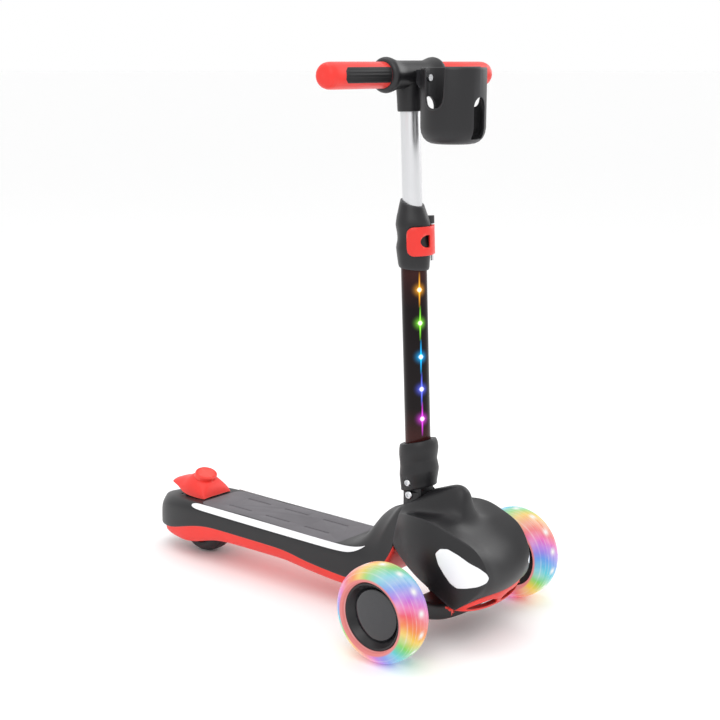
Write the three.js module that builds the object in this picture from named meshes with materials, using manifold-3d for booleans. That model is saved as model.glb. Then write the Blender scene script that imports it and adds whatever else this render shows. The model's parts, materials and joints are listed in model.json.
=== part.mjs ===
import * as THREE from 'three';
import { mergeVertices } from 'three/addons/utils/BufferGeometryUtils.js';
import Module from 'manifold-3d';

// Three-wheeled kick scooter, lean to steer. Millimetres, +Z up, travel towards -Y.
// The front axle line is y = 0 while drawing; the group is centred over its own footprint at the end.

const wasm = await Module();
wasm.setup();

// ---- driving sizes ----
const gap = 0.3;            // between pieces that touch in the real thing
const run = 0.25;           // radial running clearance, pin in bore
const skin = 2.6;           // moulded wall

const wheelbase = 442;
const frontTrack = 276;
const frontRadius = 60;
const frontWidth = 48;
const rearRadius = 41;
const rearWidth = 40;
const axleRadius = 4;
const bearingRadius = 11;
const bearingWidth = 7;

const deckTop = 84;
const deckHalf = 50;
const deckFront = 112;
const deckRear = wheelbase + 83;
const rimDrop = 7;

const rake = THREE.MathUtils.degToRad(2.27);
const pivotY = 54.3;
const pivotZ = 165;
const upperTubeRadius = 12;
const upperTubeWall = 1.5;
const lowerTubeWall = 1.8;
const bushSpace = 2.2;      // between the two tubes
const lowerTubeRadius = upperTubeRadius + bushSpace + lowerTubeWall;
const stubRadius = lowerTubeRadius + 4.5;
const slotHalf = lowerTubeRadius + 0.5;
const clampBase = 285;      // heights along the stem, from the fold bolt
const clampTop = 363;
const lowerTubeTop = clampBase + 32;
const upperTubeBase = 207;
const barHeight = 515;
const collarBase = 7;
const collarTop = 70;

const barLength = 310;
const barRadius = 9;
const gripRadius = 15.5;
const barrelRadius = 16.8;
const barrelHalf = 50;

const cupRadius = 39;
const cupHeight = 88;
const cupWall = 2.6;
const cupForward = 66;      // cup centre ahead of the bar

const kingTilt = THREE.MathUtils.degToRad(50);
const kingY = 8;
const kingZ = frontRadius + 2;
const kingRadius = 5;

// ---- materials ----
const paint = (color, roughness, metalness = 0) =>
  new THREE.MeshStandardMaterial({ color, roughness, metalness });
const black = paint(0x2d2c30, 0.5);
const gloss = paint(0x1f1f24, 0.15);
const mat = paint(0x6a686c, 0.8);
const red = paint(0xf0423a, 0.42);
const white = paint(0xeeeff1, 0.35);
const rubber = paint(0x3a3a3e, 0.8);
const glow = paint(0xd8b8e6, 0.2);
const smoke = paint(0x1c1214, 0.15);
const satin = paint(0xd4d6da, 0.3, 0.9);
const steel = paint(0xb9bbbf, 0.35, 1);

// ---- solids ----
const toSolid = (geometry) => {
  geometry.deleteAttribute('normal');
  geometry.deleteAttribute('uv');
  const merged = mergeVertices(geometry, 1e-4);
  const vertProperties = new Float32Array(merged.attributes.position.array);
  const triVerts = new Uint32Array(merged.index.array);
  return new wasm.Manifold(new wasm.Mesh({ numProp: 3, vertProperties, triVerts }));
};

const toGeometry = (solid) => {
  const mesh = solid.getMesh();
  const geometry = new THREE.BufferGeometry();
  geometry.setAttribute('position', new THREE.BufferAttribute(mesh.vertProperties, 3));
  geometry.setIndex(new THREE.BufferAttribute(mesh.triVerts, 1));
  const flat = geometry.toNonIndexed();
  flat.computeVertexNormals();
  return flat;
};

const shape = (points) => new THREE.Shape(points.map(([x, y]) => new THREE.Vector2(x, y)));

const prism = (points, depth, bevel = 0, steps = 2) => new THREE.ExtrudeGeometry(shape(points), {
  depth: depth - 2 * bevel,
  bevelEnabled: bevel > 0,
  bevelThickness: bevel,
  bevelSize: bevel,
  bevelOffset: -bevel,
  bevelSegments: steps,
}).translate(0, 0, bevel);

// Outline in X-Y raised along Z, outline in X-Z pushed along Y, outline in Y-Z pushed along X.
const alongZ = (points, low, high, bevel, steps) =>
  toSolid(prism(points, high - low, bevel, steps).translate(0, 0, low));
const alongY = (points, low, high, bevel, steps) =>
  toSolid(prism(points, high - low, bevel, steps).rotateX(Math.PI / 2).translate(0, high, 0));
const alongX = (points, low, high, bevel, steps) => {
  const geometry = prism(points, high - low, bevel, steps);
  const swap = new THREE.Matrix4().set(0, 0, 1, low, 1, 0, 0, 0, 0, 1, 0, 0, 0, 0, 0, 1);
  return toSolid(geometry.applyMatrix4(swap));
};

const block = (x0, x1, y0, y1, z0, z1) => toSolid(
  new THREE.BoxGeometry(x1 - x0, y1 - y0, z1 - z0).translate((x0 + x1) / 2, (y0 + y1) / 2, (z0 + z1) / 2),
);

// Turned piece; the profile is [radius, height] pairs and stands on Z.
const turned = (profile, sides = 32) => toSolid(
  new THREE.LatheGeometry(profile.map(([r, h]) => new THREE.Vector2(r, h)), sides).rotateX(Math.PI / 2),
);
const rod = (radius, low, high, sides = 24) =>
  turned([[0, low], [radius, low], [radius, high], [0, high]], sides);
const ring = (inner, outer, low, high, sides = 24) =>
  turned([[inner, low], [outer, low], [outer, high], [inner, high], [inner, low]], sides);
const nut = (bore, outer, low, high) => rod(outer, low, high, 6)
  .subtract(rod(bore + gap, low - 1, high + 1, 20));
const lieOnX = (solid) => solid.rotate([0, 90, 0]);
const mirrorX = (solid) => solid.mirror([1, 0, 0]);

const bothSides = (half) => [...half, ...half.filter(([x]) => x > 0).reverse().map(([x, y]) => [-x, y])];

// Moves every edge of a closed outline inwards.
const shrink = (points, amount) => {
  const area = points.reduce((sum, [x, y], i) => {
    const [nx, ny] = points[(i + 1) % points.length];
    return sum + x * ny - nx * y;
  }, 0);
  const side = Math.sign(area);
  const edges = points.map(([x, y], i) => {
    const [nx, ny] = points[(i + 1) % points.length];
    const length = Math.hypot(nx - x, ny - y);
    const ox = (-(ny - y) / length) * amount * side;
    const oy = ((nx - x) / length) * amount * side;
    return [x + ox, y + oy, nx - x, ny - y];
  });
  return edges.map(([bx, by, bdx, bdy], i) => {
    const [ax, ay, adx, ady] = edges[(i + edges.length - 1) % edges.length];
    const turn = adx * bdy - ady * bdx;
    if (Math.abs(turn) < 1e-6) {
      return [bx, by];
    }
    const t = ((bx - ax) * bdy - (by - ay) * bdx) / turn;
    return [ax + adx * t, ay + ady * t];
  });
};

const keepLargest = (solid) => solid.decompose().sort((a, b) => b.volume() - a.volume())[0];

const scooter = new THREE.Group();
// Welding at drawing precision frees the slivers that a cut leaves hanging, so they drop out here.
const place = (parent, name, solid, material) => {
  const welded = toSolid(toGeometry(solid.simplify(0.01)));
  const mesh = new THREE.Mesh(toGeometry(keepLargest(welded)), material);
  mesh.name = name;
  parent.add(mesh);
  return mesh;
};

// ---- deck, neck and their two shells ----
const neckTop = pivotZ - 15;
const neckFront = pivotY + 2.7;
const planHalf = [
  [0, deckRear], [22, deckRear - 5], [36, deckRear - 16], [45, deckRear - 34], [deckHalf, deckRear - 62],
  [deckHalf, deckFront], [48, neckFront], [0, neckFront],
];
const plan = bothSides(planHalf);
const sideOutline = [
  [neckFront, deckTop + 14], [neckFront + 9, deckTop - 4], [86, deckTop - 29], [110, deckTop - 44],
  [141, deckTop - 53],
  [165, deckTop - 53], [250, deckTop - 46], [wheelbase - 72, deckTop - 47], [wheelbase - 27, deckTop - 58],
  [wheelbase + 4, deckTop - 64], [wheelbase + 38, deckTop - 58], [wheelbase + 64, deckTop - 40],
  [deckRear, deckTop - 26],
  [deckRear, deckTop], [150, deckTop], [140, deckTop + 4], [127, deckTop + 15], [118, deckTop + 30],
  [107, neckTop - 21],
  [95, neckTop - 12], [80, neckTop - 4], [75, neckTop], [neckFront, neckTop + 2],
];
const frontHalf = [
  [0, 15], [44, 15], [deckHalf, 44], [deckHalf, deckTop - rimDrop], [48.5, deckTop + 14], [46, deckTop + 25],
  [41, neckTop - 24], [35, neckTop - 11], [27, neckTop + 3], [0, neckTop + 3],
];
const slabAt = (inset) => alongX(shrink(sideOutline, inset), -60, 60)
  .intersect(alongZ(shrink(plan, inset), 14, deckTop - inset, rimDrop, 1));
const bodyAt = (inset) => {
  const neck = alongX(shrink(sideOutline, inset), -60, 60)
    .intersect(alongY(shrink(bothSides(frontHalf), inset), 50, 170));
  const front = block(-70, 70, 40, 150, 0, 170);
  return slabAt(inset).add(neck.intersect(front));
};

const slotSide = rearWidth / 2 + 4;
const archRadius = rearRadius + 2.4;
const slotAt = (grow) => {
  const half = slotSide + grow;
  return lieOnX(rod(archRadius + grow, -half, half, 48))
    .translate([0, wheelbase, rearRadius])
    .add(block(-half, half, wheelbase - 15 - grow, wheelbase + 31 + grow, rearRadius, 100));
};
const wheelSlot = slotAt(0);
const slotWalls = slotAt(skin);
const axleBoss = lieOnX(rod(9, -44, 44)).translate([0, wheelbase, rearRadius]);
const axleBore = lieOnX(rod(axleRadius + gap, -60, 60)).translate([0, wheelbase, rearRadius]);
const boltPocket = lieOnX(rod(8, -60, -40).add(rod(8, 40, 60))).translate([0, wheelbase, rearRadius]);
const brakePinY = wheelbase - 10;
const brakePinZ = deckTop + 4;
const pinBore = lieOnX(rod(2.5 + gap, -31, 31)).translate([0, brakePinY, brakePinZ]);
const earIn = 14;
const earOut = 19;
const brakeEar = alongX([
  [-13, -6], [-13, 0], [-7, 5], [1, 5.5], [5, 2], [4.5, -2], [-2, -3.4], [-5, -3.7], [-5, -6],
], earIn, earOut).translate([0, brakePinY, brakePinZ]);
const foldScoop = rod(27.5, 0, 60, 32).rotate([-90, 0, 0]).translate([0, pivotY, pivotZ]);
const stubHole = rod(stubRadius + 4, -20, 40, 32).translate([0, pivotY, pivotZ - 20]);

const seamAbove = [
  [neckFront - 5, deckTop + 28], [neckFront, deckTop + 20], [72, deckTop - 6], [90, deckTop - 22],
  [133, deckTop - 39],
  [180, deckTop - 36], [214, deckTop - 33], [240, deckTop - 27], [wheelbase - 52, deckTop - 27],
  [wheelbase - 12, deckTop - 34],
  [wheelbase + 29, deckTop - 46], [wheelbase + 58, deckTop - 48], [deckRear + 20, deckTop - 48],
  [deckRear + 20, 200],
  [neckFront - 5, 200],
];
const above = (lift) => alongX(seamAbove.map(([y, z]) => [y, z + lift]), -70, 70);

const outer = bodyAt(0);
const inner = bodyAt(skin)
  .subtract(slotWalls)
  .subtract(axleBoss)
  .subtract(block(-60, 60, 40, neckFront + skin, 118, 200));
const walls = outer
  .subtract(inner)
  .subtract(wheelSlot)
  .subtract(axleBore)
  .subtract(boltPocket)
  .subtract(foldScoop)
  .subtract(stubHole)
  .subtract(block(-31, 31, 50, 66, 84, 134));

const matDepth = 1.6;
const matHalf = [
  [0, wheelbase - 25], [34, wheelbase - 25], [38, wheelbase - 29], [41, wheelbase - 42],
  [40.5, wheelbase - 62],
  [38, wheelbase - 112], [40.5, 260], [42, deckFront + 48], [40, deckFront + 44], [0, deckFront + 44],
];
const matOutline = bothSides(matHalf);
const matSeat = alongZ(shrink(matOutline, -gap), deckTop - matDepth - gap, deckTop + 5);
const dashLength = 44;
const dashPitch = 72;
const dashStart = deckFront + 78;
const dash = (x, y) => block(x - 1.6, x + 1.6, y, y + dashLength, deckTop - 0.7, deckTop + 1);
let deckMat = alongZ(matOutline, deckTop - matDepth, deckTop);
for (const x of [-19, 19]) {
  for (const y of [dashStart, dashStart + dashPitch, dashStart + 2 * dashPitch]) {
    deckMat = deckMat.subtract(dash(x, y));
  }
}

const stripFront = deckFront + 40;
const stripRear = wheelbase - 16;
const stripInner = deckHalf - rimDrop - 0.4;
const stripRun = [[-60, stripFront], [60, stripFront], [60, stripRear], [-60, stripRear]];
const underMat = [
  [-stripInner, deckFront - 12], [stripInner, deckFront - 12], [stripInner, wheelbase - 2],
  [-stripInner, wheelbase - 2],
];
const stripZone = (extra) => alongZ(shrink(stripRun, -extra), deckTop - rimDrop - extra, deckTop + 1)
  .subtract(alongZ(shrink(underMat, extra), 0, 200));
const stripSkin = slabAt(0).subtract(slabAt(1.5)).intersect(stripZone(0));
const stripSeat = slabAt(0).subtract(slabAt(1.5 + gap)).intersect(stripZone(gap));

const seatOfMat = deckTop - matDepth - gap;
const floorOfMat = block(-46, 46, deckFront + 38, wheelbase - 12, seatOfMat - skin, seatOfMat)
  .intersect(outer)
  .subtract(wheelSlot);
const topShell = walls
  .add(floorOfMat)
  .add(brakeEar)
  .add(mirrorX(brakeEar))
  .intersect(above(gap / 2))
  .subtract(matSeat)
  .subtract(stripSeat)
  .subtract(pinBore);
const lowerShell = walls.subtract(above(-gap / 2));

place(scooter, 'deck_top_shell', keepLargest(topShell), black);
place(scooter, 'deck_lower_shell', keepLargest(lowerShell), red);
place(scooter, 'deck_mat', deckMat, mat);
place(scooter, 'side_strip_left', stripSkin.intersect(block(-80, 0, 0, 600, 0, 200)), white);
place(scooter, 'side_strip_right', stripSkin.intersect(block(0, 80, 0, 600, 0, 200)), white);

// ---- front cowl ----
const cowlRear = neckFront - 0.4;
const cowlSide = [
  [cowlRear, 112], [cowlRear, neckTop], [34, 158], [12, 158], [-20, 154], [-54, 140], [-74, 117],
  [-86, 90], [-87, 80],
  [-80, 68.3],
  [-66, 68.3], [-56, 62], [-40, 62], [-5, 78], [30, 94],
];
const cowlPlan = bothSides([
  [0, -88], [30, -86.5], [50, -79], [62, -66], [70, -44], [73, -18], [68, 20], [58, 46], [48, 57], [0, 57],
]);
const cowlFront = bothSides([
  [0, 40], [64, 40], [71, 62], [73, 90], [70, 118], [64, 138], [52, 150], [30, 156], [0, 158],
]);
const hoodSide = [
  [cowlRear, 110], [cowlRear, 162], [30, 173], [6, 184], [-8, 189], [-18, 184], [-26, 160], [-34, 120],
];
const hoodFront = bothSides([[0, 110], [46, 110], [42, 140], [33, 164], [22, 182], [10, 188.5], [0, 189]]);
const cowlAt = (inset) => alongX(shrink(cowlSide, inset), -80, 80)
  .intersect(alongZ(shrink(cowlPlan, inset), 30, 200))
  .intersect(alongY(shrink(cowlFront, inset), -100, 70))
  .add(alongX(shrink(hoodSide, inset), -60, 60).intersect(alongY(shrink(hoodFront, inset), -60, 60)));
const cowlSolid = cowlAt(0);
const undersideOutline = [
  [60, 20], [60, 116], [30, 99], [-5, 83], [-40, 67], [-56, 66], [-74, 72], [-74, 20],
];
const underside = alongX(undersideOutline, -80, 80)
  .intersect(alongZ(shrink(cowlPlan, skin), 0, 200));
const lampOutline = [
  [-26, 121], [-30, 124.5], [-37, 124], [-58, 114], [-75, 99], [-77, 94], [-74, 91], [-60, 85], [-48, 85],
  [-38, 93], [-29, 110],
];
const cowlSkin = cowlSolid.subtract(cowlAt(skin)).subtract(underside);
const lampDeep = cowlSolid.subtract(cowlAt(2.2));
const lampCut = (extra) => alongX(shrink(lampOutline, -extra), -80, -32);
const lampLeft = keepLargest(lampDeep.intersect(lampCut(0)));
const cowlBody = cowlSkin
  .subtract(alongY(shrink(cowlFront, skin), 40, 70).intersect(block(-50, 50, 40, 70, 0, 142)))
  .subtract(stubHole)
  .subtract(foldScoop)
  .subtract(lampCut(gap))
  .subtract(mirrorX(lampCut(gap)));
place(scooter, 'front_cowl', keepLargest(cowlBody), black);
place(scooter, 'headlight_left', lampLeft, white);
place(scooter, 'headlight_right', mirrorX(lampLeft), white);

// Twin-mouthed lip under the cowl's nose.
const lipPlan = bothSides([[0, -80], [30, -76], [50, -70], [60, -60], [67, -46], [60, -40], [0, -52]]);
const lipSide = [[-40, 52], [-66, 42], [-84, 50], [-84, 68], [-66, 68], [-56, 61.7], [-36, 61.7]];
const lipOuter = alongZ(lipPlan, 40, 68, 3, 1).intersect(alongX(lipSide, -80, 80));
const mouth = alongX([[-90, 51], [-62, 48], [-62, 64], [-90, 64]], 5, 54, 2, 1);
place(scooter, 'front_grille', lipOuter.subtract(mouth).subtract(mirrorX(mouth)), red);

// ---- frame inside the cowl, which carries the steering and the fold joint ----
const king = (solid) => solid
  .rotate([90 - THREE.MathUtils.radToDeg(kingTilt), 0, 0])
  .translate([0, kingY, kingZ]);
const bossLow = -24;
const bossHigh = 10;
const bushTop = 16;
const frameLow = bushTop + gap;
const frameHigh = 42;
const socketFloor = pivotZ - 33;
const framePlate = alongX([
  [-14, kingZ + 34], [4, kingZ + 26], [neckFront + 13, deckTop + 6], [104, deckTop + 11], [100, deckTop + 26],
  [84, deckTop + 40], [neckFront + 18, deckTop + 40], [neckFront + 18, socketFloor], [22, socketFloor],
  [-22, kingZ + 50],
], -28, 28);
const frameSolid = framePlate
  .add(king(rod(17, frameLow, frameHigh, 32)))
  .subtract(king(rod(kingRadius + gap, frameLow - 1, frameHigh + 1)))
  .subtract(king(rod(22, frameLow - 30, frameLow, 32)))
  .subtract(king(rod(10, frameHigh - 6, frameHigh + 40, 24)));
place(scooter, 'front_frame', keepLargest(frameSolid), red);
const kingHead = frameHigh - 6 + gap;
const kingBolt = rod(kingRadius, bossLow - 8, kingHead).add(rod(8, kingHead, frameHigh - 1, 6));
place(scooter, 'kingpin_bolt', king(kingBolt), steel);
place(scooter, 'kingpin_nut', king(nut(kingRadius, 8.5, bossLow - 7, bossLow - gap)), steel);

// Fold clevis: two cheeks standing on the frame, open to the rear.
const stub = rod(stubRadius, -25.7, 0, 40).add(rod(stubRadius, -1, 4, 40)).translate([0, pivotY, pivotZ]);
const cheekRound = alongX([
  [1.5 - stubRadius, -30], [stubRadius - 1.5, -30], [stubRadius, -8], [stubRadius - 2.5, 2], [10, 4],
  [-12, 4], [-stubRadius, -4],
], -40, 40).translate([0, pivotY, pivotZ]);
const clevisSlot = block(-slotHalf, slotHalf, pivotY - 40, pivotY + 60, pivotZ - 19, pivotZ + 10);
const foldRadius = 3.6;
const pivotBore = (radius) => lieOnX(rod(radius, -60, 60)).translate([0, pivotY, pivotZ]);
const clevis = stub.intersect(cheekRound).subtract(clevisSlot).subtract(pivotBore(foldRadius + gap));
place(scooter, 'fold_clevis', clevis, black);
const foldHead = rod(5.2, -stubRadius - 2.8, -stubRadius - gap);
const foldBolt = lieOnX(rod(foldRadius, -stubRadius - gap, stubRadius + 1).add(foldHead));
place(scooter, 'fold_pivot_bolt', foldBolt.translate([0, pivotY, pivotZ]), steel);
const foldNut = lieOnX(nut(foldRadius, 5.6, stubRadius + gap, stubRadius + 2.6));
place(scooter, 'fold_pivot_nut', foldNut.translate([0, pivotY, pivotZ]), steel);

// ---- steering truck and wheels ----
const beamEnd = frontTrack / 2 - frontWidth / 2 - 5;
const boltReach = 22;
const beamBore = lieOnX(rod(axleRadius + gap, beamEnd - boltReach - 2, beamEnd + 20))
  .translate([0, 0, frontRadius]);
const beamPlan = bothSides([
  [0, -32], [40, -26], [beamEnd - 39, -16], [beamEnd - 10, -13], [beamEnd, -12], [beamEnd, 12],
  [beamEnd - 20, 15],
  [beamEnd - 54, 19], [0, 21],
]);
const beamFace = bothSides([
  [0, -35], [40, -35], [beamEnd - 41, -29], [beamEnd - 19, -14], [beamEnd, -12], [beamEnd, 12],
  [beamEnd - 17, 12],
  [beamEnd - 29, 4], [beamEnd - 53, -10], [0, -10],
].map(([x, z]) => [x, frontRadius + z]));
const beam = alongZ(beamPlan, 10, 90).intersect(alongY(beamFace, -50, 50))
  .subtract(king(rod(20, bossHigh - 12, bossHigh + 30)))
  .add(king(rod(16, bossLow, bossHigh, 32)))
  .subtract(king(rod(kingRadius + run, bossLow - 40, bossHigh + 1)))
  .subtract(king(rod(11, bossLow - 30, bossLow)))
  .subtract(beamBore.add(mirrorX(beamBore)));
place(scooter, 'axle_beam', keepLargest(beam), black);
place(scooter, 'steering_bush', king(ring(kingRadius + gap, 15, bossHigh + gap, bushTop, 32)), rubber);

const tyreProfile = (radius, half, seat, lip) => {
  const points = [];
  const steps = 8;
  for (let i = 0; i <= steps; i += 1) {
    const t = -1 + (2 * i) / steps;
    const drop = 12 * Math.abs(t) ** 3.2 * (radius / 60);
    points.push([radius - drop, t * half * 0.985]);
  }
  const shoulder = radius - 14.5 * (radius / 60);
  return [
    [seat, -half + 5], [lip, -half + 1.2], [shoulder, -half], ...points.slice(1, -1), [shoulder, half],
    [lip, half - 1.2], [seat, half - 5], [seat, -half + 5],
  ];
};

const frontSeat = frontRadius - 18;
const addFrontWheel = (side, name) => {
  const group = new THREE.Group();
  group.position.set((side * frontTrack) / 2, 0, frontRadius);
  scooter.add(group);
  const face = (solid) => lieOnX(side > 0 ? solid : solid.mirror([0, 0, 1]));
  const half = frontWidth / 2;
  const tyre = turned(tyreProfile(frontRadius, half, frontSeat, frontSeat + 1.2), 40);
  place(group, `${name}_tyre`, face(tyre), glow);
  const hub = turned([
    [bearingRadius + gap, -half + 4], [16, -half + 4], [18, -half + 9], [frontSeat - gap, -half + 8],
    [frontSeat - gap, half - 5], [frontSeat - 3, half - 4.4], [frontSeat - 9, half - 13],
    [frontSeat - 10, half - 14],
    [bearingRadius + gap, half - 14], [bearingRadius + gap, -half + 4],
  ], 36);
  place(group, `${name}_hub`, face(hub), black);
  const cap = turned([
    [0, half - 13.5], [frontSeat - 10.8, half - 13.5], [frontSeat - 10.3, half - 12.2], [24, half - 11.2],
    [12, half - 10.4],
    [0, half - 10.2],
  ], 28);
  place(group, `${name}_cap`, face(cap), gloss);
  for (const [tag, at] of [['inner', -half + 4.3], ['outer', half - 14 - bearingWidth - 7]]) {
    const bearing = ring(axleRadius + run, bearingRadius, at, at + bearingWidth, 20);
    place(group, `${name}_bearing_${tag}`, face(bearing), steel);
  }
  const boltEnd = half - 20;
  const bolt = rod(axleRadius, -half - 5 - boltReach, boltEnd).add(rod(7, boltEnd, boltEnd + 5, 6));
  place(group, `${name}_axle_bolt`, face(bolt), steel);
};
addFrontWheel(-1, 'left_wheel');
addFrontWheel(1, 'right_wheel');

const rear = new THREE.Group();
rear.position.set(0, wheelbase, rearRadius);
scooter.add(rear);
const rearSeat = rearRadius - 15;
const rearTyre = turned(tyreProfile(rearRadius, rearWidth / 2, rearSeat, rearSeat + 1), 32);
place(rear, 'rear_tyre', lieOnX(rearTyre), rubber);
const rearHub = turned([
  [bearingRadius + gap, -16], [rearSeat - gap, -16], [rearSeat - gap, 16], [bearingRadius + gap, 16],
  [bearingRadius + gap, -16],
], 32);
let pockets = rearHub;
for (let i = 0; i < 6; i += 1) {
  const angle = (i * Math.PI) / 3;
  const pocket = rod(4.2, -30, 30, 12).translate([18.5 * Math.cos(angle), 18.5 * Math.sin(angle), 0]);
  pockets = pockets.subtract(pocket);
}
place(rear, 'rear_hub', lieOnX(pockets), black);
for (const [tag, at] of [['left', -16 + gap], ['right', 16 - gap - bearingWidth]]) {
  const bearing = ring(axleRadius + run, bearingRadius, at, at + bearingWidth, 20);
  place(rear, `rear_bearing_${tag}`, lieOnX(bearing), steel);
}
const rearBolt = rod(axleRadius, -41, 45.5).add(rod(7, -44.5, -40 - gap, 6));
place(rear, 'rear_axle_bolt', lieOnX(rearBolt), steel);
place(rear, 'rear_axle_nut', lieOnX(nut(axleRadius, 7, 40 + gap, 45)), steel);

// ---- rear brake ----
const shoeRadius = rearRadius + 4;
const pedalSide = [
  [-22, 0.6], [-18, 10], [-11, 19], [-2, 28], [8, 31.5], [18, 31.5], [33, 27], [50, 18], [64, 10.5],
  [63, 8.3], [46, 6.8],
  [30, 5.2], [0, 2.4], [-10, 0.9],
].map(([y, z]) => [wheelbase + y, deckTop + z]);
const pedalPlan = bothSides([[0, -23], [20, -22], [27, -14], [27, 14], [25, 40], [18, 60], [0, 64]])
  .map(([x, y]) => [x, wheelbase + y]);
const pedalFront = bothSides([[0, 0], [27, 0], [27, 9], [24, 20], [18, 28], [8, 32], [0, 32.5]])
  .map(([x, z]) => [x, deckTop + z]);
const shoeHalf = rearWidth / 2 - 3;
const shoeBox = (grow) => block(
  -shoeHalf - grow, shoeHalf + grow, wheelbase - 3.5 - grow, wheelbase + 29 + grow, 60, deckTop + 5 + grow,
);
const shoe = shoeBox(0).subtract(lieOnX(rod(shoeRadius, -30, 30, 56)).translate([0, wheelbase, rearRadius]));
const earRelief = block(earIn - gap, earOut + gap, wheelbase - 30, brakePinY + 7, 60, brakePinZ + 8);
const springRoom = lieOnX(rod(4.9, -12, 12)).translate([0, brakePinY, brakePinZ])
  .add(block(-12, 12, brakePinY - 4.5, brakePinY + 9, 60, brakePinZ + 1.3));
const treadOval = rod(14, 0.6, 2.6, 28)
  .scale([1.28, 1, 1])
  .rotate([-8, 0, 0])
  .translate([0, wheelbase + 12, deckTop + 30]);
const pedal = alongX(pedalSide, -40, 40)
  .intersect(alongZ(pedalPlan, 60, 130))
  .intersect(alongY(pedalFront, 300, 600))
  .add(treadOval)
  .subtract(lieOnX(rod(shoeRadius + 1.5, -60, 60, 56)).translate([0, wheelbase, rearRadius]))
  .subtract(shoeBox(gap))
  .subtract(earRelief)
  .subtract(mirrorX(earRelief))
  .subtract(springRoom)
  .subtract(lieOnX(rod(2.5 + run, -24, 24)).translate([0, brakePinY, brakePinZ]));
place(scooter, 'brake_pedal', pedal, red);
place(scooter, 'brake_shoe', shoe, rubber);
place(scooter, 'brake_pin', lieOnX(rod(2.5, -23.5, 23.5)).translate([0, brakePinY, brakePinZ]), steel);

class Coil extends THREE.Curve {
  constructor(radius, pitch, turns) {
    super();
    this.radius = radius;
    this.pitch = pitch;
    this.turns = turns;
  }

  getPoint(t, target = new THREE.Vector3()) {
    const angle = 2 * Math.PI * this.turns * t;
    return target.set(
      this.pitch * this.turns * (t - 0.5),
      this.radius * Math.cos(angle),
      this.radius * Math.sin(angle),
    );
  }
}
const wire = new THREE.Shape().absarc(0, 0, 0.6, 0, 2 * Math.PI);
const springGeometry = new THREE.ExtrudeGeometry(wire, {
  steps: 44, curveSegments: 3, bevelEnabled: false, extrudePath: new Coil(3.7, 3.2, 5),
});
place(scooter, 'brake_spring', toSolid(springGeometry).translate([0, brakePinY, brakePinZ]), steel);

// ---- stem ----
const stem = new THREE.Group();
stem.position.set(0, pivotY, pivotZ);
stem.rotation.x = -rake;
scooter.add(stem);
const tubeBore = lowerTubeRadius - lowerTubeWall;
place(stem, 'lower_tube', ring(tubeBore, lowerTubeRadius, 22, lowerTubeTop, 32), smoke);
const footSide = [[-13, 0], [-9, -10], [0, -13], [9, -10], [13, 0], [13, 8], [13, 15], [-13, 15]];
const footTop = block(gap - slotHalf, slotHalf - gap, -18, 18, 0, 30);
const foot = alongX(footSide, gap - slotHalf, slotHalf - gap)
  .intersect(rod(lowerTubeRadius + 2, -30, 30, 32))
  .add(rod(lowerTubeRadius + 1.6, 12, 22 - gap, 32).intersect(footTop))
  .add(rod(tubeBore - gap, 20, 66, 32))
  .subtract(lieOnX(rod(foldRadius + run, -60, 60)));
place(stem, 'stem_foot', foot, black);

const stripTurn = -29;
const led = block(-2.4, 2.4, 0.6 - tubeBore, 1.5 - tubeBore, 92, 277).rotate([0, 0, stripTurn]);
place(stem, 'led_strip', led, white);

const clampWaist = lowerTubeRadius + 3.8;
const clampBulge = lowerTubeRadius + 6;
const clampProfile = [
  [lowerTubeRadius + gap, clampBase], [clampWaist - 2.1, clampBase], [clampWaist - 1, clampBase + 10],
  [clampBulge, clampBase + 24], [clampWaist + 0.8, clampBase + 31], [clampWaist, clampBase + 37],
  [clampWaist + 0.8, clampBase + 43], [clampBulge - 0.1, clampBase + 52], [clampWaist - 1.3, clampBase + 64],
  [upperTubeRadius + 2.6, clampTop - 4], [upperTubeRadius + 2, clampTop],
  [upperTubeRadius + gap, clampTop], [upperTubeRadius + gap, lowerTubeTop + 16],
  [lowerTubeRadius + gap, lowerTubeTop + gap], [lowerTubeRadius + gap, clampBase],
];
const polar = (radius, degrees) => [
  radius * Math.sin(THREE.MathUtils.degToRad(degrees)), -radius * Math.cos(THREE.MathUtils.degToRad(degrees)),
];
const leverTurn = 62;
const leverEar = clampBulge + 2.6;
const [leverX, leverY] = polar(leverEar, leverTurn);
const leverBase = clampBase + 14;
const leverTop = clampBase + 50;
const earHigh = leverTop + gap;
const ear = (low, high) => rod(3.6, low, high, 20).translate([leverX, leverY, 0])
  .add(block(-3.4, 3.4, -leverEar, -lowerTubeRadius, low, high).rotate([0, 0, leverTurn]));
const clampSolid = turned(clampProfile, 32)
  .add(ear(earHigh, earHigh + 8).subtract(rod(clampBulge - 2, 0, 600)))
  .add(ear(leverBase - 8 - gap, leverBase - gap).subtract(rod(clampBulge - 3, 0, 600)))
  .subtract(rod(1.8 + gap, 0, 600, 16).translate([leverX, leverY, 0]))
  .subtract(rod(4.2, leverBase - gap, earHigh, 20).translate([leverX, leverY, 0]))
  .subtract(rod(tubeBore - gap, clampBase + 1, lowerTubeTop, 24));
place(stem, 'clamp_collar', keepLargest(clampSolid), black);
place(stem, 'lever_pin', rod(1.8, leverBase - 8, earHigh + 8, 16).translate([leverX, leverY, 0]), steel);
const sleeve = ring(upperTubeRadius + run, tubeBore - gap, clampBase, lowerTubeTop, 24);
place(stem, 'clamp_bush', sleeve, rubber);

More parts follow.
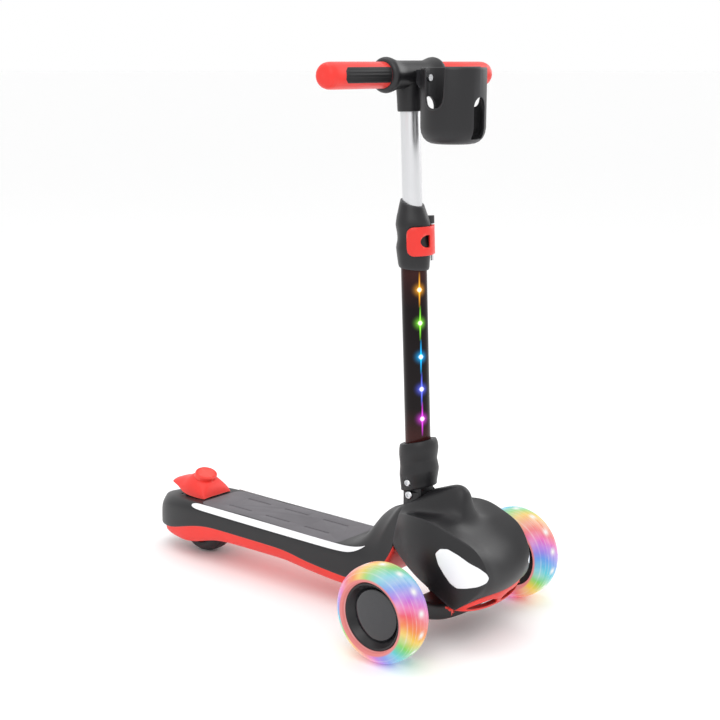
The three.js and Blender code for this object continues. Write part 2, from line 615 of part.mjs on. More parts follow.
// Lever: a band around the front of the collar.
const leverIn = clampBulge + 0.5;
const leverOut = leverIn + 2.9;
const leverTip = -68;
const wedge = (from, to, reach) => {
  const points = [[0, 0]];
  for (let i = 0; i <= 16; i += 1) {
    points.push(polar(reach, from + ((to - from) * i) / 16));
  }
  return alongZ(points, leverBase, leverTop);
};
const leverBand = turned([
  [leverIn, leverBase], [leverOut - 0.2, leverBase], [leverOut + 2, leverBase + 9],
  [leverOut, leverBase + 18],
  [leverOut + 2, leverBase + 27], [leverOut - 0.2, leverTop], [leverIn, leverTop], [leverIn, leverBase],
], 48).intersect(wedge(leverTip, leverTurn - 8, 60));
const leverBarrel = rod(3.6, leverBase, leverTop, 20).translate([leverX, leverY, 0]);
const barrelWeb = block(-4, 0, -leverOut, -leverIn - 0.2, leverBase, leverTop).rotate([0, 0, leverTurn]);
const windowCut = alongY([[-7, -7.5], [2, -7.5], [6, -5], [6, 5], [2, 7.5], [-7, 7.5]], -60, 0)
  .translate([0, 0, (leverBase + leverTop) / 2])
  .rotate([0, 0, -8]);
const lever = leverBand
  .add(leverBarrel)
  .add(barrelWeb)
  .subtract(windowCut)
  .subtract(rod(1.8 + run, 0, 600, 16).translate([leverX, leverY, 0]));
place(stem, 'clamp_lever', keepLargest(lever), red);

// Finger-waved lock collar over the fold joint.
const collarBore = lowerTubeRadius + 0.4;
const collarWaist = lowerTubeRadius + 6.4;
const collarProfile = [
  [collarBore, collarBase + 18], [collarBore + 2.2, collarBase + 16], [collarBore + 2.2, collarBase],
  [collarWaist - 0.4, collarBase], [collarWaist + 0.4, collarBase + 10], [collarWaist + 1.8, collarBase + 22],
  [collarWaist + 1.2, collarBase + 32], [collarWaist, collarBase + 41], [collarWaist + 0.8, collarBase + 48],
  [collarWaist + 2, collarBase + 54], [collarWaist + 0.2, collarTop - 3], [collarWaist - 1.2, collarTop],
  [collarBore, collarTop], [collarBore, collarBase + 18],
];
const collarScrewZ = 15.5;
const screwSeat = collarWaist + 0.3;
const screwHole = rod(2.3, -40, 1 - collarBore).add(rod(4.8, -40, -screwSeat));
const collar = turned(collarProfile, 28).subtract(lieOnX(screwHole).translate([0, 0, collarScrewZ]));
place(stem, 'lock_collar', collar, black);
const screwHead = rod(4.4, -screwSeat - 2.5, -screwSeat - gap);
const collarScrew = lieOnX(rod(2, -screwSeat - 0.8, -collarBore - 2.6).add(screwHead));
place(stem, 'collar_screw', collarScrew.translate([0, 0, collarScrewZ]), steel);

// ---- sliding upper half: tube, bar, grips and cup holder ----
const upperTube = ring(upperTubeRadius - upperTubeWall, upperTubeRadius, upperTubeBase, barHeight - 12, 36);
place(stem, 'upper_tube', upperTube, satin);
const slideBush = ring(upperTubeRadius + gap, tubeBore - gap, upperTubeBase, upperTubeBase + 14, 24)
  .subtract(block(-4, 4, -20, 0, 0, 600).rotate([0, 0, stripTurn]));
place(stem, 'slide_bush', slideBush, rubber);

const bar = new THREE.Group();
bar.position.z = barHeight;
bar.rotation.x = rake;
stem.add(bar);
const neckLength = 43;
const neckRadius = upperTubeRadius + 3.6;
const alongStem = (solid) => solid.rotate([THREE.MathUtils.radToDeg(-rake), 0, 0]);
const flare = barrelRadius + 4.2;
const barrel = turned([
  [0, -barrelHalf], [flare - 3.5, -barrelHalf], [flare, 4 - barrelHalf], [flare, 7 - barrelHalf],
  [barrelRadius, 13 - barrelHalf],
  [barrelRadius, barrelHalf - 13], [flare, barrelHalf - 7], [flare, barrelHalf - 4],
  [flare - 3.5, barrelHalf], [0, barrelHalf],
], 28);
const tCoupling = lieOnX(barrel)
  .add(alongStem(rod(neckRadius, -neckLength, 0, 36)))
  .subtract(lieOnX(rod(barRadius + gap, -80, 80)))
  .subtract(alongStem(rod(upperTubeRadius + gap, -neckLength - 9, -12 + gap, 36)))
  .subtract(rod(2 + gap, -24, -12, 16).rotate([-90, 0, 0]).translate([0, 0, -3]));
place(bar, 't_coupling', tCoupling, black);
place(bar, 'bar_core', lieOnX(rod(barRadius, -barLength / 2 + 6, barLength / 2 - 6, 24)), satin);

const gripStart = barrelHalf + gap;
const gripEnd = barLength / 2;
const inlayDepth = 1.1;
const sector = (from, to, reach, low, high) => {
  const points = [[0, 0]];
  for (let i = 0; i <= 8; i += 1) {
    const angle = THREE.MathUtils.degToRad(from + ((to - from) * i) / 8);
    points.push([-reach * Math.cos(angle), reach * Math.sin(angle)]);
  }
  return alongX(points, low, high);
};
const inlayLean = 2;
const inlayZone = (spread, from, to) => sector(inlayLean - spread, inlayLean + spread, 40, from, to);
for (const [side, name] of [[-1, 'left'], [1, 'right']]) {
  const flip = (solid) => (side > 0 ? solid : mirrorX(solid));
  const front = inlayZone(35, gripStart + 3, gripEnd - 23);
  const seat = inlayZone(36.2, gripStart + 3 - gap, gripEnd - 23 + gap);
  const shellOf = (inner, outer) => lieOnX(ring(inner, outer, gripStart, gripEnd - 4, 32));
  const back = (solid) => solid.mirror([0, 1, 0]);
  const grip = lieOnX(turned([
    [0, gripStart], [gripRadius, gripStart], [gripRadius, gripEnd - 6], [gripRadius - 2, gripEnd - 2],
    [gripRadius - 5, gripEnd],
    [0, gripEnd],
  ], 32))
    .subtract(lieOnX(rod(barRadius + gap, 0, gripEnd - 6 + gap, 24)))
    .subtract(seat.add(back(seat)).intersect(shellOf(gripRadius - inlayDepth - gap, 30)));
  place(bar, `${name}_grip`, flip(grip), red);
  const inlay = front.intersect(shellOf(gripRadius - inlayDepth, gripRadius + 0.3));
  place(bar, `${name}_inlay_front`, flip(inlay), black);
  place(bar, `${name}_inlay_rear`, flip(back(inlay)), black);
}

// Cup holder with open side slots and low windows front and back.
const cupBase = -79;
const cupTop = cupBase + cupHeight;
const cupShell = turned([
  [0, cupBase], [cupRadius - 16, cupBase], [cupRadius - 5, cupBase + 5], [cupRadius - 0.5, cupBase + 16],
  [cupRadius, cupTop - 2],
  [cupRadius - 0.8, cupTop], [cupRadius - cupWall, cupTop], [cupRadius - cupWall - 0.5, cupBase + 17],
  [cupRadius - cupWall - 5, cupBase + 7], [cupRadius - 17, cupBase + cupWall], [0, cupBase + cupWall],
], 36);
const slotOutline = [
  [-14.5, cupTop + 5], [-13, cupBase + 52], [-9, cupBase + 43], [0, cupBase + 40], [9, cupBase + 43],
  [13, cupBase + 52], [14.5, cupTop + 5],
];
const lowWindow = [
  [-10, cupBase + 8], [10, cupBase + 8], [10, cupBase + 47], [5, cupBase + 54], [-5, cupBase + 54], [-10, cupBase + 47],
];
const cupBack = cupForward - barrelRadius - gap;
const hanger = block(-14, 14, cupRadius - 1.6, cupBack, -14, 8)
  .subtract(lieOnX(rod(barrelRadius + gap, -60, 60, 40)).translate([0, cupForward, 0]))
  .subtract(alongStem(rod(neckRadius + gap, -neckLength, 0, 36)).translate([0, cupForward, 0]));
const cup = cupShell
  .subtract(alongX(slotOutline, -60, 60))
  .subtract(alongY(lowWindow, -60, -10))
  .add(hanger)
  .subtract(rod(2 + gap, 0, 90, 16).rotate([-90, 0, 0]).translate([0, 20, -3]))
  .translate([0, -cupForward, 0]);
place(bar, 'cup_holder', keepLargest(cup), black);
const cupScrewSeat = cupRadius - cupWall - 0.6;
const cupScrewLength = cupForward - barrelRadius + 0.6 - cupScrewSeat;
const cupScrew = rod(2, 0, cupScrewLength, 16).add(rod(4, -2.2, 0, 20)).rotate([-90, 0, 0]);
place(bar, 'cup_screw', cupScrew.translate([0, cupScrewSeat - cupForward, -3]), steel);

// Centre the assembly over its own footprint.
scooter.updateMatrixWorld(true);
const bounds = new THREE.Box3().setFromObject(scooter);
const middle = bounds.getCenter(new THREE.Vector3());
scooter.position.set(-middle.x, -middle.y, -bounds.min.z);
scooter.updateMatrixWorld(true);

export default scooter;
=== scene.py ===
import json
import math
import bmesh
import bpy
from mathutils import Matrix, Vector

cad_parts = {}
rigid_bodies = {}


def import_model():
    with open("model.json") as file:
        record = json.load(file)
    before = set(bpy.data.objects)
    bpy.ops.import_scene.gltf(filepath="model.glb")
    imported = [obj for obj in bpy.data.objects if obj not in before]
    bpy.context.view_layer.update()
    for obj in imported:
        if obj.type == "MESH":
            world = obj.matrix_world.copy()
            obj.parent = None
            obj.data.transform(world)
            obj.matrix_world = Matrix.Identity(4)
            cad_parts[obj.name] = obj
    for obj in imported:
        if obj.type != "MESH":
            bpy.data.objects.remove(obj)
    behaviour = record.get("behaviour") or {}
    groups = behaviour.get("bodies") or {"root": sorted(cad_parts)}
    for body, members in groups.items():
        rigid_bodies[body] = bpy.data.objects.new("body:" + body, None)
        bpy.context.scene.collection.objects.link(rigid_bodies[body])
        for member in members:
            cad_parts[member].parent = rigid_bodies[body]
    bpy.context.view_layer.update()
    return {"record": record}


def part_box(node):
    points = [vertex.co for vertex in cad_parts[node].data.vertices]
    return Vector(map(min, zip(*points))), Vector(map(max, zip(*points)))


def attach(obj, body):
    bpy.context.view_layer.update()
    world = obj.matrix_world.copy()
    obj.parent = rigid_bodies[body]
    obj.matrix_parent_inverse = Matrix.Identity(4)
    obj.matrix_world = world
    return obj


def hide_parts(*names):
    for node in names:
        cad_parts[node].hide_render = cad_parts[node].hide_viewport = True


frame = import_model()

scene = bpy.context.scene
scene.view_settings.view_transform = "Standard"

joints = {j["name"]: j for j in frame["record"]["behaviour"]["joints"]}


def middleOf(node):
    low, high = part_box(node)
    return (low + high) / 2


axleY = middleOf("left_wheel_tyre").y  # front axle line, the scooter's own zero along Y


def at(x, y, z):
    # millimetres from the front axle line and the ground
    return Vector((x / 1000, axleY + y / 1000, z / 1000))


foldPoint = Vector(joints["stem_fold"]["pos_m"])
stemAxis = Vector(joints["height_slide"]["axis"])
stemFrame = Matrix.Translation(foldPoint) @ Matrix.Rotation(-math.atan2(stemAxis.y, stemAxis.z), 4, "X")
barFrame = Matrix.Translation(middleOf("bar_core"))
alongX = Matrix.Rotation(math.radians(90), 4, "Y")
towardsLeft = Matrix.Rotation(math.radians(-90), 4, "Y")


# ---- finishes -------------------------------------------------------------

def startMaterial(name, colour, roughness, **sockets):
    mat = bpy.data.materials.new(name)
    mat.use_nodes = True
    tree = mat.node_tree
    shader = tree.nodes["Principled BSDF"]
    shader.inputs["Base Color"].default_value = (*colour, 1)
    shader.inputs["Roughness"].default_value = roughness
    for key, value in sockets.items():
        shader.inputs[key.replace("_", " ")].default_value = value
    coords = tree.nodes.new("ShaderNodeTexCoord")
    return mat, tree, shader, coords.outputs["Object"]


def scaled(tree, vector, scale):
    node = tree.nodes.new("ShaderNodeMapping")
    node.inputs["Scale"].default_value = scale
    tree.links.new(vector, node.inputs["Vector"])
    return node.outputs["Vector"]


def noiseOf(tree, vector, scale, detail=3.0):
    node = tree.nodes.new("ShaderNodeTexNoise")
    node.inputs["Scale"].default_value = scale
    node.inputs["Detail"].default_value = detail
    tree.links.new(vector, node.inputs["Vector"])
    return node.outputs["Fac"]


def spread(tree, value, fromLow, fromHigh, low, high):
    node = tree.nodes.new("ShaderNodeMapRange")
    for key, number in zip(("From Min", "From Max", "To Min", "To Max"), (fromLow, fromHigh, low, high)):
        node.inputs[key].default_value = number
    tree.links.new(value, node.inputs["Value"])
    return node.outputs["Result"]


def calc(tree, operation, a, b=None):
    node = tree.nodes.new("ShaderNodeMath")
    node.operation = operation
    for socket, value in zip(node.inputs, (a, b)):
        if value is None:
            continue
        if isinstance(value, (int, float)):
            socket.default_value = value
        else:
            tree.links.new(value, socket)
    return node.outputs[0]


def blendColours(tree, fac, a, b, mode="MIX"):
    node = tree.nodes.new("ShaderNodeMix")
    node.data_type = "RGBA"
    node.blend_type = mode
    for socket, value in ((node.inputs[0], fac), (node.inputs[6], a), (node.inputs[7], b)):
        if isinstance(value, (int, float)):
            socket.default_value = value
        elif isinstance(value, tuple):
            socket.default_value = (*value, 1)
        else:
            tree.links.new(value, socket)
    return node.outputs[2]


def addBump(tree, shader, height, strength, distance):
    node = tree.nodes.new("ShaderNodeBump")
    node.inputs["Strength"].default_value = strength
    node.inputs["Distance"].default_value = distance
    tree.links.new(height, node.inputs["Height"])
    tree.links.new(node.outputs["Normal"], shader.inputs["Normal"])


def mouldedPlastic(name, colour, worn, roughness, grain=0.25, **sockets):
    # satin moulding: fine spark-eroded grain, faint flow tone, rubbed edges
    mat, tree, shader, vector = startMaterial(name, colour, roughness, **sockets)
    cloud = noiseOf(tree, vector, 14, 4)
    fine = noiseOf(tree, vector, 1500, 2)
    edge = tree.nodes.new("ShaderNodeNewGeometry").outputs["Pointiness"]
    rubbed = spread(tree, edge, 0.52, 0.6, 0, 0.55)
    tone = blendColours(tree, spread(tree, cloud, 0.3, 0.7, 0, 1), colour, tuple(c * 1.18 for c in colour))
    tree.links.new(blendColours(tree, rubbed, tone, worn), shader.inputs["Base Color"])
    rough = calc(tree, "ADD", spread(tree, cloud, 0.3, 0.7, roughness - 0.05, roughness + 0.05), spread(tree, fine, 0.3, 0.7, -0.03, 0.03))
    tree.links.new(rough, shader.inputs["Roughness"])
    addBump(tree, shader, fine, grain, 0.0002)
    return mat


def polished(name, colour, roughness, **sockets):
    # smooth glossy moulding with faint haze and a soft orange peel
    mat, tree, shader, vector = startMaterial(name, colour, roughness, **sockets)
    haze = noiseOf(tree, vector, 40, 5)
    peel = noiseOf(tree, vector, 220, 2)
    tree.links.new(spread(tree, haze, 0.3, 0.75, roughness * 0.8, roughness * 1.5), shader.inputs["Roughness"])
    tree.links.new(blendColours(tree, haze, colour, tuple(c * 0.94 for c in colour)), shader.inputs["Base Color"])
    addBump(tree, shader, peel, 0.05, 0.0002)
    return mat


def metal(name, colour, roughness, stretch):
    # drawn or turned metal: long fine lines and small scuffs
    mat, tree, shader, vector = startMaterial(name, colour, roughness, Metallic=1.0)
    lines = noiseOf(tree, scaled(tree, vector, stretch), 900, 2)
    scuff = noiseOf(tree, vector, 60, 6)
    rough = calc(tree, "ADD", spread(tree, lines, 0.3, 0.7, roughness - 0.06, roughness + 0.06), spread(tree, scuff, 0.55, 0.75, 0, 0.1))
    tree.links.new(rough, shader.inputs["Roughness"])
    tree.links.new(blendColours(tree, lines, colour, tuple(c * 0.93 for c in colour)), shader.inputs["Base Color"])
    addBump(tree, shader, lines, 0.06, 0.0002)
    return mat


def rubberLike(name, colour, roughness, grain):
    mat, tree, shader, vector = startMaterial(name, colour, roughness, Specular_IOR_Level=0.3)
    cloud = noiseOf(tree, vector, 18, 4)
    fine = noiseOf(tree, vector, 2200, 2)
    tree.links.new(blendColours(tree, spread(tree, cloud, 0.3, 0.7, 0, 1), colour, tuple(c * 1.25 for c in colour)), shader.inputs["Base Color"])
    tree.links.new(spread(tree, fine, 0.3, 0.7, roughness - 0.06, roughness + 0.06), shader.inputs["Roughness"])
    addBump(tree, shader, fine, grain, 0.0003)
    return mat


lampLook = {"cycles": 3.0, "glow": 0.62, "lamps": 14, "twist": 5.0}


def litTyre(name, centre, side):
    # clear urethane lit from inside: the hue runs round the wheel, with a bright spot over each lamp
    mat, tree, shader, vector = startMaterial(name, (0.3, 0.3, 0.3), 0.2, IOR=1.45, Specular_IOR_Level=0.3)
    move = tree.nodes.new("ShaderNodeMapping")
    move.inputs["Location"].default_value = -centre
    tree.links.new(vector, move.inputs["Vector"])
    parts = tree.nodes.new("ShaderNodeSeparateXYZ")
    tree.links.new(move.outputs["Vector"], parts.inputs["Vector"])
    x, y, z = parts.outputs
    turn = calc(tree, "DIVIDE", calc(tree, "ARCTAN2", z, y), 2 * math.pi)
    wave = spread(tree, noiseOf(tree, move.outputs["Vector"], 22, 2), 0.2, 0.8, -0.05, 0.05)
    lean = calc(tree, "MULTIPLY", x, lampLook["twist"] * side)
    shift = calc(tree, "ADD", wave, calc(tree, "ADD", lean, 3.55 if side < 0 else 3.2))
    hue = calc(tree, "FRACT", calc(tree, "ADD", calc(tree, "MULTIPLY", turn, -lampLook["cycles"] * side), shift))
    ramp = tree.nodes.new("ShaderNodeValToRGB")
    tree.links.new(hue, ramp.inputs["Fac"])
    stops = [(0.0, (0.96, 0.1, 0.13)), (0.12, (1.0, 0.28, 0.05)), (0.24, (1.0, 0.66, 0.05)), (0.37, (0.22, 0.72, 0.1)), (0.52, (0.1, 0.66, 0.78)),
             (0.66, (0.13, 0.33, 0.9)), (0.8, (0.5, 0.16, 0.82)), (0.91, (0.93, 0.14, 0.5)), (1.0, (0.96, 0.1, 0.13))]
    ramp.color_ramp.elements[0].position, ramp.color_ramp.elements[0].color = stops[0][0], (*stops[0][1], 1)
    ramp.color_ramp.elements[1].position, ramp.color_ramp.elements[1].color = stops[-1][0], (*stops[-1][1], 1)
    for place, colour in stops[1:-1]:
        ramp.color_ramp.elements.new(place).color = (*colour, 1)
    away = calc(tree, "ABSOLUTE", x)
    step = calc(tree, "ABSOLUTE", calc(tree, "SUBTRACT", calc(tree, "FRACT", calc(tree, "MULTIPLY", turn, lampLook["lamps"])), 0.5))
    along = spread(tree, step, 0.04, 0.30, 1, 0)
    across = spread(tree, away, 0.0012, 0.0075, 1, 0)
    spot = calc(tree, "POWER", calc(tree, "MULTIPLY", along, across), 1.5)
    radius = calc(tree, "SQRT", calc(tree, "ADD", calc(tree, "MULTIPLY", y, y), calc(tree, "MULTIPLY", z, z)))
    spot = calc(tree, "MULTIPLY", spot, spread(tree, radius, 0.054, 0.058, 0, 1))
    # light gathers in thin lines along the ribs
    lines = None
    for place, width, strength in ((0.0098, 0.0009, 0.42), (0.0145, 0.0007, 0.3), (0.0195, 0.0009, 0.36), (0.0036, 0.0008, 0.2)):
        line = spread(tree, calc(tree, "ABSOLUTE", calc(tree, "SUBTRACT", away, place)), 0.0, width, strength, 0)
        lines = line if lines is None else calc(tree, "MAXIMUM", lines, line)
    broken = spread(tree, noiseOf(tree, move.outputs["Vector"], 60, 2), 0.35, 0.65, 0.15, 1)
    lines = calc(tree, "MULTIPLY", lines, broken)
    wash = spread(tree, noiseOf(tree, move.outputs["Vector"], 38, 2), 0.35, 0.7, 0.05, 0.34)
    body = blendColours(tree, wash, ramp.outputs["Color"], (1.0, 0.96, 0.98))
    # the inner lip beside the hub stays a steady pink
    lip = spread(tree, radius, 0.0455, 0.0475, 1, 0)
    body = blendColours(tree, lip, body, (0.9, 0.28, 0.27))
    colour = blendColours(tree, calc(tree, "MAXIMUM", spot, lines), body, (1.0, 1.0, 0.97))
    tree.links.new(blendColours(tree, 0.76, colour, (0.0, 0.0, 0.0)), shader.inputs["Base Color"])
    tree.links.new(colour, shader.inputs["Emission Color"])
    shader.inputs["Emission Strength"].default_value = lampLook["glow"]
    tree.links.new(spread(tree, noiseOf(tree, vector, 90, 4), 0.3, 0.7, 0.16, 0.3), shader.inputs["Roughness"])
    return mat


stripLook = {"heights": [423, 382, 340, 299.5, 262], "turn": -29, "spot": 0.0036, "halo": 0.0125, "streak": 0.0225,
             "colours": [(1.0, 0.42, 0.02), (0.25, 0.9, 0.05), (0.0, 0.45, 1.0), (0.12, 0.16, 1.0), (0.75, 0.05, 0.8)]}


def smokedTube(name, radius):
    # dark see-through tube: each lamp behind it shows as a small star on a thin lit line
    mat, tree, shader, vector = startMaterial(name, (0.008, 0.004, 0.004), 0.14, Specular_IOR_Level=0.16)
    angle = math.radians(stripLook["turn"])
    out = Vector((math.sin(angle), -math.cos(angle), 0)) * radius
    parts = tree.nodes.new("ShaderNodeSeparateXYZ")
    total = None
    for height, colour in zip(stripLook["heights"], stripLook["colours"]):
        lamp = stemFrame @ (out + Vector((0, 0, height / 1000 - foldPoint.z)))
        move = tree.nodes.new("ShaderNodeMapping")
        move.inputs["Location"].default_value = -lamp
        tree.links.new(vector, move.inputs["Vector"])
        size = tree.nodes.new("ShaderNodeVectorMath")
        size.operation = "LENGTH"
        tree.links.new(move.outputs["Vector"], size.inputs[0])
        core = calc(tree, "POWER", spread(tree, size.outputs["Value"], 0, stripLook["spot"], 1, 0), 1.2)
        halo = calc(tree, "POWER", spread(tree, size.outputs["Value"], 0, stripLook["halo"], 1, 0), 2.6)
        split = tree.nodes.new("ShaderNodeSeparateXYZ")
        tree.links.new(move.outputs["Vector"], split.inputs["Vector"])
        side = tree.nodes.new("ShaderNodeVectorMath")
        side.operation = "DOT_PRODUCT"
        tree.links.new(move.outputs["Vector"], side.inputs[0])
        side.inputs[1].default_value = (math.cos(angle), math.sin(angle), 0)
        thin = spread(tree, calc(tree, "ABSOLUTE", side.outputs["Value"]), 0.0003, 0.0013, 1, 0)
        streak = calc(tree, "MULTIPLY", thin, calc(tree, "POWER", spread(tree, calc(tree, "ABSOLUTE", split.outputs["Z"]), 0, stripLook["streak"], 1, 0), 0.9))
        flat = spread(tree, calc(tree, "ABSOLUTE", split.outputs["Z"]), 0, 0.0008, 1, 0)
        cross = calc(tree, "MULTIPLY", flat, calc(tree, "POWER", spread(tree, size.outputs["Value"], 0, 0.006, 1, 0), 1.5))
        glow = calc(tree, "ADD", calc(tree, "MULTIPLY", halo, 0.55), calc(tree, "ADD", calc(tree, "MULTIPLY", streak, 0.75), calc(tree, "MULTIPLY", cross, 0.7)))
        tinted = blendColours(tree, glow, (0, 0, 0), colour)
        lit = blendColours(tree, core, tinted, (1.0, 0.95, 0.85), "ADD")
        total = lit if total is None else blendColours(tree, 1.0, total, lit, "ADD")
    tree.links.new(total, shader.inputs["Emission Color"])
    shader.inputs["Emission Strength"].default_value = 2.6
    tree.links.new(vector, parts.inputs["Vector"])
    mist = noiseOf(tree, vector, 30, 4)
    lowWarm = spread(tree, parts.outputs["Z"], 0.235, 0.275, 1, 0)
    highWarm = spread(tree, parts.outputs["Z"], 0.40, 0.455, 0, 1)
    warm = calc(tree, "MULTIPLY", calc(tree, "MAXIMUM", lowWarm, highWarm), spread(tree, mist, 0.3, 0.6, 0.7, 1))
    tone = blendColours(tree, warm, (0.0055, 0.0028, 0.0034), (0.045, 0.011, 0.010))
    tree.links.new(tone, shader.inputs["Base Color"])
    tree.links.new(spread(tree, mist, 0.3, 0.7, 0.1, 0.2), shader.inputs["Roughness"])
    return mat


blackTone, blackWorn = (0.0085, 0.0082, 0.0095), (0.045, 0.045, 0.05)
finish = {
    "blackShell": mouldedPlastic("blackShell", blackTone, blackWorn, 0.42, Specular_IOR_Level=0.42),
    "blackGrip": mouldedPlastic("blackGrip", (0.008, 0.008, 0.009), blackWorn, 0.5, 0.5, Specular_IOR_Level=0.35),
    "redShell": mouldedPlastic("redShell", (0.7, 0.032, 0.024), (0.85, 0.12, 0.09), 0.38, 0.12, Specular_IOR_Level=0.35),
    "whiteTrim": polished("whiteTrim", (0.86, 0.86, 0.88), 0.3),
    "lampLens": polished("lampLens", (0.88, 0.89, 0.91), 0.2, Coat_Weight=0.3),
    "softMat": rubberLike("softMat", (0.12, 0.114, 0.124), 0.62, 0.4),
    "darkRubber": rubberLike("darkRubber", (0.03, 0.03, 0.033), 0.6, 0.4),
    "wheelHub": mouldedPlastic("wheelHub", (0.009, 0.009, 0.0105), blackWorn, 0.32, 0.15, Specular_IOR_Level=0.4),
    "wheelCap": polished("wheelCap", (0.007, 0.007, 0.011), 0.1, Coat_Weight=0.5),
    "aluminium": metal("aluminium", (0.74, 0.745, 0.76), 0.34, (1, 1, 0.02)),
    "steel": metal("steel", (0.7, 0.71, 0.73), 0.28, (1, 1, 1)),
    "lampStrip": polished("lampStrip", (0.8, 0.75, 0.78), 0.3),
}
print("finishes made")


# ---- modelling helpers ------------------------------------------------------

def softened(points, radius, steps=3):
    # rounds the corners of an open outline
    out = [Vector(points[0])]
    for before, corner, after in zip(points, points[1:], points[2:]):
        before, corner, after = Vector(before), Vector(corner), Vector(after)
        inward, onward = before - corner, after - corner
        reach = min(radius, inward.length * 0.45, onward.length * 0.45)
        a, b = corner + inward.normalized() * reach, corner + onward.normalized() * reach
        for i in range(steps + 1):
            t = i / steps
            out.append(a.lerp(corner, t).lerp(corner.lerp(b, t), t))
    out.append(Vector(points[-1]))
    return out


def softenedRing(points, radius, steps=3):
    whole = [points[-1], *points, points[0]]
    return softened(whole, radius, steps)[1:-1]


def spun(bm, outline, steps, place, closed=False, start=0.0, sweep=360.0):
    # outline is (radius, height) in millimetres, turned about Z and then put in place
    before = set(bm.verts)
    verts = [bm.verts.new((r / 1000, 0, h / 1000)) for r, h in outline]
    edges = [bm.edges.new(pair) for pair in zip(verts, verts[1:])]
    if closed:
        edges.append(bm.edges.new((verts[-1], verts[0])))
    bmesh.ops.rotate(bm, verts=verts, matrix=Matrix.Rotation(math.radians(start), 3, "Z"))
    full = sweep == 360.0
    bmesh.ops.spin(bm, geom=verts + edges, cent=(0, 0, 0), axis=(0, 0, 1), dvec=(0, 0, 0), angle=math.radians(sweep),
                   steps=steps, use_merge=full, use_duplicate=False)
    made = [v for v in bm.verts if v not in before]
    bmesh.ops.remove_doubles(bm, verts=made, dist=1e-6)
    made = [v for v in bm.verts if v not in before]
    bmesh.ops.transform(bm, verts=made, matrix=place)
    return made


def lofted(rows, closedRows=False, bm=None):
    # each row is the same number of points; the edge of one row is extruded on to the next
    bm = bm or bmesh.new()
    current = [bm.verts.new(p) for p in rows[0]]
    first = list(current)
    for row in rows[1:]:
        pairs = list(zip(current, current[1:])) + ([(current[-1], current[0])] if closedRows else [])
        edges = [bm.edges.get(p) or bm.edges.new(p) for p in pairs]
        grown = bmesh.ops.extrude_edge_only(bm, edges=edges)
        fresh = {g for g in grown["geom"] if isinstance(g, bmesh.types.BMVert)}
        onward = []
        for vert in current:
            onward.append(next(e.other_vert(vert) for e in vert.link_edges if e.other_vert(vert) in fresh))
        for vert, p in zip(onward, row):
            vert.co = p
        current = onward
    return bm, first, current


def capped(bm, loop):
    edges = [bm.edges.get(pair) for pair in zip(loop, loop[1:] + loop[:1])]
    face = bmesh.ops.contextual_create(bm, geom=[e for e in edges if e])["faces"]
    return face


def mirroredRow(half):
    # half runs from the middle line outwards
    return [at(-x, y, z) for x, y, z in reversed(half[1:])] + [at(*p) for p in half]


def outward(bm):
    bmesh.ops.remove_doubles(bm, verts=bm.verts, dist=1e-6)
    bmesh.ops.recalc_face_normals(bm, faces=bm.faces)


def toObject(name, bm):
    mesh = bpy.data.meshes.new(name)
    bm.to_mesh(mesh)
    bm.free()
    obj = bpy.data.objects.new(name, mesh)
    scene.collection.objects.link(obj)
    return obj


def bakeDown(obj):
    # modifiers become the mesh
    evaluated = obj.evaluated_get(bpy.context.evaluated_depsgraph_get())
    mesh = bpy.data.meshes.new_from_object(evaluated)
    obj.modifiers.clear()
    obj.data = mesh
    return obj


def refined(obj, levels):
    sub = obj.modifiers.new("subdivision", "SUBSURF")
    sub.levels = sub.render_levels = levels
    return bakeDown(obj)


def walled(obj, thickness):
    wall = obj.modifiers.new("wall", "SOLIDIFY")
    wall.thickness, wall.offset, wall.use_even_offset = thickness, -1, True
    return bakeDown(obj)


def cut(obj, tool, operation="DIFFERENCE", folded=False):
    # folded is for a wall that meets itself in a steep crease
    boolean = obj.modifiers.new("cut", "BOOLEAN")
    boolean.operation, boolean.solver, boolean.object = operation, "EXACT", tool
    boolean.use_self = folded
    bakeDown(obj)
    bpy.data.objects.remove(tool)
    return obj


def prism(outline, depth, place, rounding=0.0, steps=3):
    # closed outline in its own X-Y plane, in millimetres, pushed along its Z
    points = softenedRing([Vector((*p, 0)) for p in outline], rounding, steps) if rounding else [Vector((*p, 0)) for p in outline]
    bm = bmesh.new()
    verts = [bm.verts.new(p / 1000) for p in points]
    face = bmesh.ops.contextual_create(bm, geom=verts)["faces"]
    grown = bmesh.ops.extrude_face_region(bm, geom=face)
    moved = [g for g in grown["geom"] if isinstance(g, bmesh.types.BMVert)]
    bmesh.ops.translate(bm, verts=moved, vec=(0, 0, depth / 1000))
    bmesh.ops.transform(bm, verts=bm.verts, matrix=place)
    outward(bm)
    return toObject("tool", bm)


def barTool(radius, low, high, place, sides=48):
    bm = bmesh.new()
    spun(bm, [(0, low), (radius, low), (radius, high), (0, high)], sides, place)
    outward(bm)
    return toObject("tool", bm)


def settle(obj, name, body, slotName, material, nodes=(), sharp=35, bevel=0.0):
    # names, shades and finishes a piece, and hands it to its moving body
    obj.name = obj.data.name = name
    if bevel:
        soft = obj.modifiers.new("edges", "BEVEL")
        soft.width, soft.segments, soft.limit_method = bevel / 1000, 2, "ANGLE"
        soft.angle_limit, soft.harden_normals = math.radians(40), False
        bakeDown(obj)
    bm = bmesh.new()
    bm.from_mesh(obj.data)
    for face in bm.faces:
        face.smooth = True
    for edge in bm.edges:
        edge.smooth = len(edge.link_faces) < 2 or edge.calc_face_angle(0) < math.radians(sharp)
    bm.to_mesh(obj.data)
    bm.free()
    obj.data.materials.clear()
    obj.data.materials.append(material)
    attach(obj, body)
    if nodes:
        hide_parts(*nodes)
    return obj


